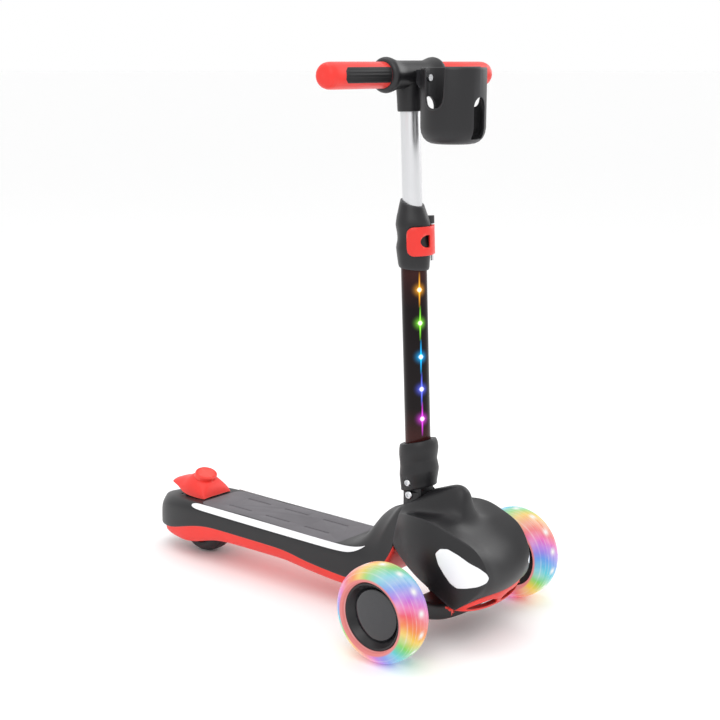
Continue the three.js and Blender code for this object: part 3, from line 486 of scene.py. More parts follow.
def turnedPiece(name, outline, place, body, slotName, material, nodes=(), rounding=0.8, steps=96, closed=True, **more):
    bm = bmesh.new()
    points = softenedRing([Vector(p) for p in outline], rounding) if closed else softened([Vector(p) for p in outline], rounding)
    spun(bm, points, steps, place, closed)
    outward(bm)
    return settle(toObject(name, bm), name, body, slotName, material, nodes, **more)


# ---- wheels -----------------------------------------------------------------

frontWheel = {"radius": 60, "half": 24, "drop": 12, "power": 3.2, "grooves": (-0.46, 0.0, 0.46), "grooveDepth": 0.7, "grooveWidth": 0.035}


def tyreOutline(s, lip):
    points = [(lip - 1.2, -s["half"] + 5), (lip, -s["half"] + 1.2), (s["radius"] * 0.758, -s["half"])]
    for i in range(1, 80):
        t = -1 + i / 40
        dip = sum(s["grooveDepth"] * max(0, 1 - abs(t - g) / s["grooveWidth"]) for g in s["grooves"])
        points.append((s["radius"] - s["drop"] * abs(t) ** s["power"] - dip, t * s["half"] * 0.985))
    return points + [(x, -h) for x, h in reversed(points[:3])]


for side, word in ((-1, "left"), (1, "right")):
    centre = middleOf(word + "_wheel_tyre")
    place = Matrix.Translation(centre) @ (alongX if side > 0 else towardsLeft)
    body = word + "_wheel"
    bm = bmesh.new()
    spun(bm, [Vector(p) for p in tyreOutline(frontWheel, 43.2)], 144, place, True)
    outward(bm)
    settle(toObject("tyre", bm), word + "Tyre", body, "light_tyre", litTyre(word + "TyreGlow", centre, side), [word + "_wheel_tyre"])
    rim = [(11.3, -20), (16, -20), (18, -15), (41.7, -16), (41.7, 18.6), (40.6, 19.8), (38.6, 19.4), (33.4, 11.4), (32.2, 10), (11.3, 10)]
    turnedPiece(word + "Hub", rim, place, body, "wheel_hub", finish["wheelHub"], [word + "_wheel_hub"], 1.0, 120)
    cap = [(0, 10.5), (31.2, 10.5), (31.7, 11.6), (30.6, 12.5), (24, 13.1), (12, 13.7), (0, 13.8)]
    turnedPiece(word + "Cap", cap, place, body, "wheel_cap", finish["wheelCap"], [word + "_wheel_cap"], 0.8, 120, closed=False)

rearCentre = middleOf("rear_tyre")
rearPlace = Matrix.Translation(rearCentre) @ alongX
rearTyre = {"radius": 41, "half": 20, "drop": 8.2, "power": 3.2, "grooves": (-0.5, 0.0, 0.5), "grooveDepth": 0.8, "grooveWidth": 0.05}
bm = bmesh.new()
spun(bm, [Vector(p) for p in tyreOutline(rearTyre, 27)], 112, rearPlace, True)
outward(bm)
settle(toObject("tyre", bm), "rearTyre", "rear_wheel", "dark_rubber", finish["darkRubber"], ["rear_tyre"])
bm = bmesh.new()
rearRim = [(11.3, -16), (25.7, -16), (25.7, 16), (11.3, 16)]
spun(bm, softenedRing([Vector(p) for p in rearRim], 1.0), 96, rearPlace, True)
outward(bm)
hub = toObject("hub", bm)
for i in range(6):
    a = math.radians(60 * i)
    cut(hub, barTool(4.4, -30, 30, rearPlace @ Matrix.Translation((0.0185 * math.cos(a), 0.0185 * math.sin(a), 0)), 24))
settle(hub, "rearHub", "rear_wheel", "wheel_hub", finish["wheelHub"], ["rear_hub"], bevel=0.5)
print("wheels made")


# ---- tilting truck ------------------------------------------------------------

beamRibs = [(0, -32, 21, 25, 50), (22, -30, 21, 25, 50), (42, -26, 20, 25.4, 50), (56, -21, 19, 28, 51), (68, -17, 18, 32, 56),
            (80, -14.5, 16.5, 39.5, 63), (92, -13, 15, 46, 70), (100, -12.6, 13.4, 47.6, 71.6), (108, -12, 12, 48, 72)]


def beamRing(x, back, front, low, high):
    # rounded box in Y-Z
    midY, midZ = (back + front) / 2, (low + high) / 2
    halfY, halfZ = (front - back) / 2, (high - low) / 2
    ring = []
    for i in range(16):
        a = 2 * math.pi * (i + 0.5) / 16
        c, s = math.cos(a), math.sin(a)
        ring.append(at(x, midY + halfY * math.copysign(abs(c) ** 0.5, c) * 1.03, midZ + halfZ * math.copysign(abs(s) ** 0.5, s) * 1.03))
    return ring


rings = [beamRing(-x, *rest) for x, *rest in reversed(beamRibs[1:])] + [beamRing(*rib) for rib in beamRibs]
bm, startLoop, endLoop = lofted(rings, True)
for loop in (startLoop, endLoop):
    faces = capped(bm, loop)
    bmesh.ops.inset_region(bm, faces=faces, thickness=0.0025, use_even_offset=True)
outward(bm)
beam = refined(toObject("beam", bm), 2)
steerJoint = joints["truck_steer"]
kingAxis = Vector(steerJoint["axis"])
kingFrame = Matrix.Translation(Vector(steerJoint["pos_m"])) @ Matrix.Rotation(math.atan2(-kingAxis.y, kingAxis.z), 4, "X")
boss = bmesh.new()
spun(boss, softened([Vector(p) for p in [(5.3, -24), (16, -24), (16, 10), (5.3, 10)]], 1.2), 64, kingFrame, True)
outward(boss)
cut(beam, toObject("boss", boss), "UNION")
settle(beam, "axleBeam", "front_truck", "black_shell", finish["blackShell"], ["axle_beam"])
print("truck made")


# ---- deck ---------------------------------------------------------------------

# half sections of the black upper shell, middle line outwards, front to rear
shellHalf = [
    (57.3, [(0, 156), (11, 155.5), (21, 154.5), (28, 152), (36, 142), (42, 131), (46, 118), (48, 105.5)]),
    (66, [(0, 153), (12, 152.5), (23, 151), (31, 146), (36, 138), (43, 122), (47, 104), (49, 88)]),
    (76, [(0, 149), (14, 146), (27, 138), (37.5, 127), (43, 113), (47, 98), (49, 86), (49.7, 74)]),
    (86, [(0, 143), (15, 139), (29, 127), (40, 109), (45, 98), (48, 88), (49.6, 77), (50, 65.5)]),
    (97, [(0, 137), (15, 131), (29, 117), (42, 97), (46, 89), (49, 80), (50, 70), (50, 59)]),
    (107, [(0, 129), (15, 123), (30, 108), (42, 92), (46.5, 85), (49.3, 77), (50, 66), (50, 54)]),
    (118, [(0, 114), (15, 108), (30, 97), (42, 88.5), (47, 83), (49.6, 75), (50, 62), (50, 49.5)]),
    (127, [(0, 99), (18, 95), (35, 88.5), (42.5, 85.8), (48, 80.5), (50, 73), (50, 60), (50, 46)]),
    (138, [(0, 89.5), (20, 87.5), (36, 85.6), (43, 84.4), (49, 78.5), (50, 70), (50, 58), (50, 45)]),
    (150, [(0, 84), (22, 84), (36, 84), (43, 84), (49.4, 78), (50, 70), (50, 58), (50, 46.3)]),
    (180, [(0, 84), (22, 84), (36, 84), (43, 84), (49.4, 78), (50, 70), (50, 59), (50, 48)]),
    (214, [(0, 84), (22, 84), (36, 84), (43, 84), (49.4, 78), (50, 71), (50, 61), (50, 51)]),
    (240, [(0, 84), (22, 84), (36, 84), (43, 84), (49.4, 78), (50, 72), (50, 64), (50, 57)]),
    (300, [(0, 84), (22, 84), (36, 84), (42, 84), (49.4, 77.5), (50, 72), (50, 64), (50, 57)]),
    (345, [(0, 84), (22, 84), (36, 84), (42, 84), (49.4, 77.5), (50, 72), (50, 64), (50, 57)]),
    (390, [(0, 84), (22, 84), (36, 84), (42.5, 84), (49.4, 77.8), (50, 72), (50, 64), (50, 57)]),
    (418, [(0, 84), (22, 84), (36, 84), (43, 84), (49.4, 78), (50, 71), (50, 62), (50, 52.5)]),
    (440, [(0, 84), (22, 84), (36, 84), (42, 83.4), (49, 77.5), (50, 70), (50, 58), (50, 47)]),
    (460, [(0, 83.6), (20, 83.5), (32, 83.2), (39, 82.4), (47, 76), (48.7, 68), (48.8, 55), (48.8, 41)]),
    (480, [(0, 82), (17, 81.8), (27, 81.2), (34, 80), (43.5, 73), (45.6, 64), (45.8, 51), (45.8, 37.5)]),
    (497, [(0, 78.5), (12, 78.2), (20, 77.5), (27, 76), (36.5, 68.5), (38.6, 60), (39, 48), (39, 36.5)]),
    (510, [(0, 75), (8, 74.6), (14, 73.8), (19, 72.4), (27, 64.5), (29, 57), (29.5, 46.5), (29.5, 36.3)]),
    (519, [(0, 72.4), (4, 72.1), (8, 71.3), (11, 70), (17, 62), (18.4, 55), (19, 45.5), (19, 36.2)]),
    (524.4, [(0, 70), (2, 69.6), (4, 68.8), (5.5, 67.6), (8, 60), (8.8, 53.5), (9, 45), (9, 36.2)]),
]


def stubTool(radius):
    return barTool(radius, -30, 45, Matrix.Translation(foldPoint), 64)


def scoopTool():
    return barTool(27.5, 0, 70, Matrix.Translation(foldPoint) @ Matrix.Rotation(math.radians(-90), 4, "X"), 64)


def slotTool(extra=0.0):
    # arch over the rear wheel, open to the top behind the brake's front edge
    arch = barTool(43.4 + extra, -24 - extra, 24 + extra, Matrix.Translation(rearCentre) @ alongX, 96)
    top = 84 + 30
    low, high = 427 - extra, 473 + extra
    box = prism([(-24 - extra, low), (24 + extra, low), (24 + extra, high), (-24 - extra, high)], top - 41, Matrix.Translation(at(0, 0, 41)), 2.0)
    return cut(arch, box, "UNION")


bm, _, rearEnd = lofted([mirroredRow([(x, y, z) for x, z in half]) for y, half in shellHalf])
capped(bm, rearEnd)
outward(bm)
shell = refined(toObject("shell", bm), 2)
shell = walled(shell, 0.0026)
cut(shell, slotTool())
cut(shell, scoopTool())
cut(shell, stubTool(24.5))
# clear recess for the soft mat
matHalf = [(0, 418), (30, 418), (35, 416), (39, 411), (41, 400), (40.5, 380), (38.4, 330), (40, 262), (41.4, 200), (42, 166), (40.8, 160), (36, 157), (0, 156)]
matRing = [(-x, y) for x, y in reversed(matHalf[1:-1])] + matHalf


def matPrism(low, high, shrinkBy=0.0):
    outline = [(x * (1 - shrinkBy / 42), y - math.copysign(shrinkBy, y - 280)) for x, y in matRing]
    return prism(outline, high - low, Matrix.Translation(at(0, 0, low)), 1.5)


cut(shell, matPrism(82.1, 90))
settle(shell, "deckUpperShell", "deck", "black_shell", finish["blackShell"], ["deck_top_shell"], sharp=32)

soft = matPrism(81.9, 84.0, 0.35)
for x in (-19, 19):
    for y in (190, 262, 334):
        w = 1.9
        groove = prism([(x - w, y), (x + w, y), (x + w, y + 44), (x - w, y + 44)], 3, Matrix.Translation(at(0, 0, 83.2)), 1.6)
        cut(soft, groove)
settle(soft, "softMat", "deck", "deck_mat", finish["softMat"], ["deck_mat"], bevel=0.25)

for sign, word in ((-1, "left"), (1, "right")):
    # pale band lying on the rim between the flat top and the side, drawn to a point up the neck
    rows = []
    run = [(108, 0.02, 42.2, 91.8, 42.9, 91.0), (114, 0.4, 42.1, 89.3, 45.4, 86.6), (121, 1, 42.2, 87.3, 47.2, 83.0), (130, 1, 42.6, 85.7, 48.9, 79.9),
           (142, 1, 43.0, 84.5, 49.6, 78.6), (160, 1, 43.0, 84.25, 49.8, 77.7), (214, 1, 43.0, 84.25, 49.8, 77.5), (300, 1, 42.2, 84.25, 49.8, 77.3),
           (380, 1, 42.6, 84.25, 49.8, 77.5), (410, 1, 43.0, 84.25, 49.8, 77.8), (420, 1, 43.6, 84.0, 49.6, 78.6), (424.5, 0.4, 45.6, 82.8, 48.4, 80.6)]
    bm = bmesh.new()
    for y, _, xa, za, xb, zb in run:
        middle = ((xa + xb) / 2 + 0.45, (za + zb) / 2 + 0.45)
        rows.append([at(sign * xa, y, za), at(sign * (xa * 0.6 + middle[0] * 0.4 + 0.1), y, za * 0.6 + middle[1] * 0.4 + 0.1), at(sign * middle[0], y, middle[1]),
                     at(sign * (xb * 0.6 + middle[0] * 0.4 + 0.1), y, zb * 0.6 + middle[1] * 0.4 + 0.1), at(sign * xb, y, zb)])
    bm, _, _ = lofted(rows)
    outward(bm)
    band = refined(toObject("band", bm), 2)
    band = walled(band, 0.0008)
    settle(band, word + "Strip", "deck", "white_trim", finish["whiteTrim"], ["side_strip_" + word])
print("deck top made")

# red lower shell: a closed keel whose upper edge follows the black shell's seam
keelSide = [(57, 98), (61, 88), (66, 80), (76, 66), (86, 55), (98, 46), (110, 40), (125, 34), (141, 31), (165, 31), (205, 34), (250, 38), (310, 37.5), (370, 37), (395, 32),
            (415, 26), (432, 22), (446, 20), (464, 21.5), (480, 26), (494, 34.5)]
seamLine = [(57, 105.5), (66, 88), (76, 74), (86, 65.5), (97, 59), (107, 54), (118, 49.5), (127, 46), (138, 45), (150, 46.3), (180, 48), (214, 51), (240, 57), (300, 57),
            (345, 57), (390, 57), (418, 52.5), (440, 47), (460, 41), (480, 37.5), (497, 36.5)]


def along(line, y):
    for (ya, za), (yb, zb) in zip(line, line[1:]):
        if ya <= y <= yb:
            return za + (zb - za) * (y - ya) / (yb - ya)
    return line[0][1] if y < line[0][0] else line[-1][1]


halfWidth = [(57, 48), (76, 49.7), (90, 50), (440, 50), (460, 48.8), (480, 45.8), (497, 39)]
keelRows = []
for y in (57, 61, 66, 76, 86, 98, 110, 125, 141, 165, 205, 240, 250, 300, 370, 395, 415, 432, 446, 464, 480, 494):
    low, high, wide = along(keelSide, y), along(seamLine, y) - 0.35, along(halfWidth, y)
    drop = high - low
    corner = min(9, drop * 0.5)
    keelRows.append([(0, y, low), (wide * 0.45, y, low), (wide - corner * 1.4, y, low), (wide - corner * 0.35, y, low + corner * 0.4), (wide - 0.6, y, low + corner * 1.1),
                     (wide - 0.1, y, high - drop * 0.2), (wide - 0.1, y, high)])
bm, _, tail = lofted([mirroredRow(row) for row in keelRows])
capped(bm, tail)
outward(bm)
keel = refined(toObject("keel", bm), 2)
keel = walled(keel, 0.0026)
cut(keel, slotTool())
settle(keel, "deckLowerShell", "deck", "red_shell", finish["redShell"], ["deck_lower_shell"], sharp=32)
print("deck underside made")


# ---- front cowl -----------------------------------------------------------------

cowlGrid = [
    [(0, 57, 163), (10, 57, 162), (20, 57, 158), (29, 57, 151), (37, 57, 144), (42, 57, 132), (46, 57, 120), (48, 57, 112), (48.5, 57, 106)],
    [(0, 42, 169.5), (14, 42, 168), (25, 42, 160), (35, 42, 149), (46, 40, 149.5), (54, 40, 136), (57, 40, 120), (57, 40, 108), (56, 42, 100)],
    [(0, 24, 176.4), (13, 24, 174), (23, 24, 162), (32, 24, 148.6), (53, 22, 152.5), (63, 22, 136), (67, 22, 116), (66, 22, 100), (63, 24, 91)],
    [(0, 6, 183.4), (12, 6, 180.4), (20, 6, 166), (27, 6, 149), (56.5, 4, 154), (67, 4, 137), (71.5, 4, 112), (70, 4, 94), (66, 6, 82)],
    [(0, -4, 186.6), (9, -4, 184.5), (16, -4, 171), (23, -4, 150), (57.5, -5, 153.6), (68.4, -5, 136), (72.6, -5, 110), (71, -4, 91), (66.6, -2, 78)],
    [(0, -15, 186), (8, -14.6, 183.6), (14.5, -13, 170), (20, -12, 149), (58, -13, 152.5), (69, -13, 134), (73, -13, 108), (71.5, -12, 88), (67, -10, 74.5)],
    [(0, -24, 179), (7.5, -23, 176.5), (13, -20.5, 163), (17.5, -18, 147.6), (58.2, -20, 150.6), (68.8, -20, 132), (72.8, -20, 106), (71.3, -18, 85), (67.2, -17, 71)],
    [(0, -25.5, 158), (8, -25, 154), (14, -23.5, 149.5), (22, -22, 146.5), (58, -27, 148.5), (68.5, -28, 130), (72.5, -27, 104), (71, -25, 82), (67.5, -24, 67.5)],
    [(0, -31, 142), (12, -31, 142), (24, -31, 142.8), (38, -31, 144), (57, -42, 143), (66, -43, 124), (70, -40, 98), (70, -37, 78), (68, -36, 61.5)],
    [(0, -40, 134), (14, -41, 134), (28, -43, 135), (42, -47, 138), (55, -56, 138), (62.5, -57, 117), (66.5, -53, 93), (68, -48, 74), (67.5, -43, 58)],
    [(0, -60, 124.5), (13, -61, 124.5), (27, -63, 126), (40, -66, 129), (50.5, -69, 131), (57, -70, 108), (62, -64, 88), (66, -56, 69), (67.3, -47, 56)],
    [(0, -76, 112), (12, -77, 112), (25, -78, 113), (37, -80, 115), (47, -80.5, 115), (53, -79, 99), (58.5, -72, 82), (64, -62, 66), (67, -50, 55)],
    [(0, -87, 94), (12, -87, 94), (24, -87, 94.5), (35, -87, 96), (44, -86, 97), (50, -82, 87), (56, -75, 76), (62, -65, 64), (66.5, -52, 54.5)],
    [(0, -87.5, 79), (12, -87, 79), (24, -85.5, 79), (34, -84, 79.5), (42, -81, 79), (48, -78, 76), (54, -73, 71), (61, -65, 62.5), (66, -53, 54)],
    [(0, -80, 68), (11, -79.5, 68), (22, -78, 68.2), (32, -76, 68), (41, -73, 67.4), (48, -70, 66), (54, -66.5, 63.5), (60, -61, 60), (65, -53, 54.5)],
]


def creasedAt(rows, column, pull):
    # extra points close to one column keep that line crisp after smoothing
    out = []
    for row in rows:
        before, here, after = row[column - 1], row[column], row[column + 1]
        mix = lambda p, q, t: tuple(a + (b - a) * t for a, b in zip(p, q))
        out.append(row[:column] + [mix(here, before, pull), here, mix(here, after, pull)] + row[column + 1:])
    return out


cowlRows = creasedAt(cowlGrid, 4, 0.12)
bm, _, _ = lofted([mirroredRow(row) for row in cowlRows])
outward(bm)
cowl = refined(toObject("cowl", bm), 2)
cowl = walled(cowl, 0.0024)
cut(cowl, stubTool(24.5), folded=True)
cut(cowl, scoopTool(), folded=True)

lampOutline = [(-13.6, 120), (-7.9, 126.4), (1.7, 127.3), (15.1, 121.8), (28.6, 113.6), (40.2, 108.3), (48.8, 101.8), (51.8, 95), (49.1, 89.8), (38.6, 86),
               (23.4, 83), (13.8, 82.3), (6.1, 86.9), (-1.8, 96.5), (-9.6, 108.1)]


def lampPrism(sign, grow=0.0):
    # the lamp's outline looks along the cowl's own corner
    midS = sum(s for s, _ in lampOutline) / len(lampOutline)
    midZ = sum(z for _, z in lampOutline) / len(lampOutline)
    points = []
    for s, z in lampOutline:
        away = Vector((s - midS, z - midZ))
        away = away + away.normalized() * grow
        points.append((away.x, away.y))
    centre = at(sign * 53, -52, 100)
    across = Vector((-sign * 0.507, -0.861, 0))
    outwardNormal = Vector((sign * 0.861, -0.507, 0))
    frameOf = Matrix((across, Vector((0, 0, 1)), outwardNormal)).transposed().to_4x4()
    frameOf.translation = centre + across * ((midS - 17.9) / 1000) + Vector((0, 0, (midZ - 100) / 1000))
    base = frameOf @ Matrix.Translation((0, 0, -0.034))
    return prism(points, 70, base, 2.2, 4)


for sign, word in ((-1, "left"), (1, "right")):
    lens = cowl.copy()
    lens.data = cowl.data.copy()
    scene.collection.objects.link(lens)
    cut(lens, lampPrism(sign), "INTERSECT", True)
    settle(lens, word + "Lamp", "deck", "lamp_lens", finish["lampLens"], ["headlight_" + word], sharp=40, bevel=0.3)
for sign in (-1, 1):
    cut(cowl, lampPrism(sign, 0.5), folded=True)
settle(cowl, "frontCowl", "deck", "black_shell", finish["blackShell"], ["front_cowl"], sharp=34)
print("cowl made")

# red lip under the nose, with two air openings
lipHalf = [(0, 0), (16, 0.6), (30, 2.4), (42, 5.5), (52, 10.5), (60, 18), (65, 27), (66.5, 35)]
rows = []
for x, back in lipHalf:
    top = [(0, -79, 67.6), (30, -75, 67.8), (50, -69.4, 66), (60, -61, 60.6), (66.5, -47, 54.6)]
    zTop = along([(p[0], p[2]) for p in top], x) - 0.5
    yTop = along([(p[0], p[1]) for p in top], x) + 0.6
    zLow = 45 + (x / 66.5) ** 2 * 7.5
    yLow = -67 + back * 0.62
    rows.append([(x, yTop + 9, zTop - 0.4), (x, yTop, zTop), (x, yTop + 0.5, zTop - 2.4), (x, yTop + 3.5, zTop - (zTop - zLow) * 0.45), (x, yLow - 1.2, zLow + 2.2), (x, yLow, zLow), (x, yLow + 9, zLow + 1)])
full = [[(-x, y, z) for x, y, z in row] for row in reversed(rows[1:])] + rows
bm, _, _ = lofted([[at(*p) for p in row] for row in full])
outward(bm)
lip = refined(toObject("lip", bm), 2)
lip = walled(lip, 0.0022)
for sign in (-1, 1):
    mouth = [(3, 50), (6, 56), (18, 59), (38, 58.4), (50, 56.4), (55, 54.4), (48, 52), (34, 50.6), (18, 49.6)]
    place = Matrix(((sign, 0, 0, 0), (0, 0, 1, axleY - 0.1), (0, 1, 0, 0), (0, 0, 0, 1)))
    cut(lip, prism(mouth, 60, place, 2.5), folded=True)
settle(lip, "noseLip", "deck", "red_shell", finish["redShell"], ["front_grille"])
print("nose made")


# ---- frame parts that stay as built, fold joint and small hardware ---------------------

def dressed(node, material):
    # a piece that keeps its own shape takes a finish only
    obj = next(o for o in bpy.data.objects if o.type == "MESH" and o.name.split(".")[0] == node)
    obj.data.materials.clear()
    obj.data.materials.append(material)


stubOuter = 20.5
clevis = bmesh.new()
spun(clevis, softenedRing([Vector(p) for p in [(0, -25.4), (stubOuter, -25.4), (stubOuter, 3.8), (0, 3.8)]], 1.4), 72, Matrix.Translation(foldPoint), True)
outward(clevis)
clevis = toObject("clevis", clevis)
slotBox = prism([(-16.5, -40), (16.5, -40), (16.5, 60), (-16.5, 60)], 40, Matrix.Translation(foldPoint + Vector((0, 0, -0.019))))
cut(clevis, slotBox)
cut(clevis, barTool(3.9, -40, 40, Matrix.Translation(foldPoint) @ alongX, 32))
settle(clevis, "foldClevis", "deck", "black_shell", finish["blackShell"], ["fold_clevis"], bevel=0.5)


def buttonScrew(name, place, body, slotName, nodes, radius=5.0, shank=3.4, length=8.0, high=2.6, socket=2.4):
    # domed head with a hexagon socket, head towards local +Z
    outline = [(0, -length), (shank, -length), (shank, 0), (radius, 0), (radius, high * 0.3), (radius * 0.82, high * 0.78), (radius * 0.45, high), (0, high)]
    bm = bmesh.new()
    spun(bm, softened([Vector(p) for p in outline], 0.5), 48, place)
    outward(bm)
    screw = toObject(name, bm)
    hexagon = [(socket * math.cos(math.radians(60 * i + 15)), socket * math.sin(math.radians(60 * i + 15))) for i in range(6)]
    cut(screw, prism(hexagon, 6, place @ Matrix.Translation((0, 0, (high - 1.7) / 1000))))
    return settle(screw, name, body, slotName, finish["steel"], nodes, bevel=0.15)


boltFace = Matrix.Translation(foldPoint + Vector((-0.0208, 0, 0))) @ towardsLeft
buttonScrew("foldBolt", boltFace, "deck", "steel", ["fold_pivot_bolt"], 5.2, 3.6, 41, 2.4)

# ---- stem ------------------------------------------------------------------------------

def onStem(height):
    return (height - foldPoint.z * 1000)


lower = [(14.2, onStem(187)), (16, onStem(187)), (16, onStem(480)), (14.2, onStem(480))]
smoke = smokedTube("smokedTube", 0.016)
turnedPiece("lowerTube", lower, stemFrame, "stem", "smoked_tube", smoke, ["lower_tube"], 0.5, 96)
upperTop = cadTop = (stemFrame.inverted() @ middleOf("bar_core")).z * 1000
upper = [(10.5, upperTop - 308), (12, upperTop - 308), (12, upperTop - 12), (10.5, upperTop - 12)]
turnedPiece("upperTube", upper, stemFrame, "handlebar", "aluminium", finish["aluminium"], ["upper_tube"], 0.3, 96)

# clamp collar: a waisted moulding whose bulges are softly eight-sided
clampLook = {"profile": [(16.3, 284), (19.4, 284), (20.2, 287), (20.9, 294), (21.8, 303), (22.3, 309), (21.6, 313), (20.6, 317), (20.2, 321), (20.6, 327), (21.6, 333), (22.1, 337),
                         (21.6, 341), (20.4, 346), (18.8, 351), (17.4, 356), (16.2, 360), (15.2, 363), (12.6, 363)], "facet": 0.05}
bm = bmesh.new()
made = spun(bm, [Vector(p) for p in clampLook["profile"]], 96, Matrix.Identity(4))
for v in made:
    angle = math.atan2(v.co.x, -v.co.y)
    height = v.co.z * 1000
    strength = clampLook["facet"]
    pull = 1 - strength * (1 - math.cos(4 * angle)) / 2
    v.co.x *= pull
    v.co.y *= pull
    # both mouths are cut lower at the front
    v.co.z += v.co.y * (0.34 * max(0, (height - 340) / 23) + 0.14 * max(0, (300 - height) / 16))
bmesh.ops.transform(bm, matrix=stemFrame, verts=bm.verts)
outward(bm)
collar = walled(toObject("collar", bm), 0.0015)
pinAngle = math.radians(62)
ear = 24.6


def earBlock(low, high):
    place = stemFrame @ Matrix.Rotation(pinAngle, 4, "Z")
    lug = prism([(-3.6, -ear - 0.5), (-2.4, -ear - 3.1), (0, -ear - 4.1), (2.4, -ear - 3.1), (3.6, -ear - 0.5), (4.4, -18), (-4.4, -18)], high - low,
                place @ Matrix.Translation((0, 0, low / 1000)), 1.0)
    return lug


cut(collar, earBlock(336.4, 346), "UNION")
settle(collar, "clampCollar", "stem", "black_shell", finish["blackShell"], ["clamp_collar"], sharp=38)

# red lever wrapped round the front of the collar
leverLook = {"from": -71, "to": 56, "base": 299.5, "top": 335, "inner": 22.9, "outer": 25.6}
band = []
for i in range(29):
    degrees = leverLook["from"] + (leverLook["to"] - leverLook["from"]) * i / 28
    a = math.radians(degrees)
    narrow = 1 - 0.32 * max(0, 1 - (i / 28) / 0.16) ** 2
    mid = (leverLook["base"] + leverLook["top"]) / 2
    half = (leverLook["top"] - leverLook["base"]) / 2 * narrow
    swell = 1.9
    ring = []
    for j in range(18):
        t = j / 18 * 2 * math.pi
        c, s = math.cos(t), math.sin(t)
        z = mid + half * math.copysign(abs(s) ** 0.35, s)
        wave = swell * 0.5 * (1 - math.cos(2 * math.pi * (z - mid + half) / (2 * half) * 2)) if c > 0 else 0
        r = (leverLook["inner"] + leverLook["outer"]) / 2 + (leverLook["outer"] - leverLook["inner"]) / 2 * math.copysign(abs(c) ** 0.6, c) + wave * 0.55
        ring.append(stemFrame @ Vector((r * math.sin(a) / 1000, -r * math.cos(a) / 1000, z / 1000)))
    band.append(ring)
bm, head, foot = lofted(band, True)
capped(bm, head)
capped(bm, foot)
outward(bm)
lever = refined(toObject("lever", bm), 1)
barrel = barTool(3.9, leverLook["base"], leverLook["top"], stemFrame @ Matrix.Translation((ear * math.sin(pinAngle) / 1000, -ear * math.cos(pinAngle) / 1000, 0)), 40)
cut(lever, barrel, "UNION")
windowPlace = stemFrame @ Matrix.Translation((0, 0, 0.3172)) @ Matrix.Rotation(math.radians(-15), 4, "Z") @ Matrix.Translation((0, -0.021, 0))
window = prism([(7.2, -7.6), (7.2, 7.6), (0.5, 7.6), (-4.6, 5.6), (-7.4, 1.8), (-7.4, -1.8), (-4.6, -5.6), (0.5, -7.6)], 30, windowPlace @ Matrix.Rotation(math.radians(90), 4, "X"), 1.6)
cut(lever, window)
settle(lever, "clampLever", "clamp_lever", "red_shell", finish["redShell"], ["clamp_lever"], sharp=42, bevel=0.3)

# finger-waved sleeve that locks the fold
sleeve = [(16.4, 25), (18.6, 23), (18.6, 6), (22.7, 6), (23.2, 12), (24.6, 19), (26.0, 26.5), (25.2, 32), (23.6, 39.5), (24.8, 46), (25.9, 53.5), (25.2, 60), (23.6, 64), (22.4, 66), (16.4, 66)]
bm = bmesh.new()
made = spun(bm, softenedRing([Vector(p) for p in sleeve], 2.2, 4), 120, Matrix.Identity(4), True)
for v in made:
    # the two swells stand out to the front and sides and fade behind
    radius = math.hypot(v.co.x, v.co.y)
    if radius > 0.0228:
        angle = math.atan2(v.co.x, -v.co.y)
        fade = 0.5 + 0.5 * math.cos(angle)
        pull = (0.0228 + (radius - 0.0228) * (0.35 + 0.65 * fade)) / radius
        v.co.x *= pull
        v.co.y *= pull
    # the whole sleeve is cut on the slant, higher at the front
    v.co.z -= v.co.y * 0.22
bmesh.ops.transform(bm, matrix=stemFrame, verts=bm.verts)
outward(bm)
lock = toObject("lock", bm)
screwPlace = stemFrame @ Matrix.Translation((0, 0, 0.0162)) @ towardsLeft
cut(lock, barTool(5.0, 22.4, 40, screwPlace, 40))
settle(lock, "lockCollar", "lock_collar", "black_shell", finish["blackShell"], ["lock_collar"])
buttonScrew("collarScrew", screwPlace @ Matrix.Translation((0, 0, 0.0226)), "lock_collar", "steel", ["collar_screw"], 4.5, 2.0, 3.6, 2.4, 2.2)
print("stem made")

# ---- handlebar --------------------------------------------------------------------------

tee = [(9.3, -50), (16.6, -50), (18.4, -49.2), (20.6, -46.6), (21, -44.2), (20.5, -41), (19.2, -36.5), (17.8, -31), (17, -26), (16.8, -20), (16.8, 20), (17, 26), (17.8, 31),
       (19.2, 36.5), (20.5, 41), (21, 44.2), (20.6, 46.6), (18.4, 49.2), (16.6, 50), (9.3, 50)]
bm = bmesh.new()
spun(bm, [Vector(p) for p in tee], 96, barFrame @ alongX, True)
outward(bm)
coupling = toObject("coupling", bm)
tilt = Matrix.Rotation(-math.atan2(stemAxis.y, stemAxis.z), 4, "X")
bm = bmesh.new()
spun(bm, softened([Vector(p) for p in [(0, -43), (15.4, -43), (15.9, -24), (16.6, -12), (17.2, -2), (0, -2)]], 1.6, 4), 96, barFrame @ tilt)
outward(bm)
cut(coupling, toObject("neck", bm), "UNION")
cut(coupling, barTool(9.3, -60, 60, barFrame @ alongX, 64))
cut(coupling, barTool(12.3, -60, -11.7, barFrame @ tilt, 64))
screwAngle = math.radians(-62)
recess = barFrame @ Matrix.Translation((-0.022, 0, -0.0085)) @ Matrix.Rotation(math.radians(62), 4, "X")
settle(coupling, "barCoupling", "handlebar", "black_shell", finish["blackShell"], ["t_coupling"], sharp=42)

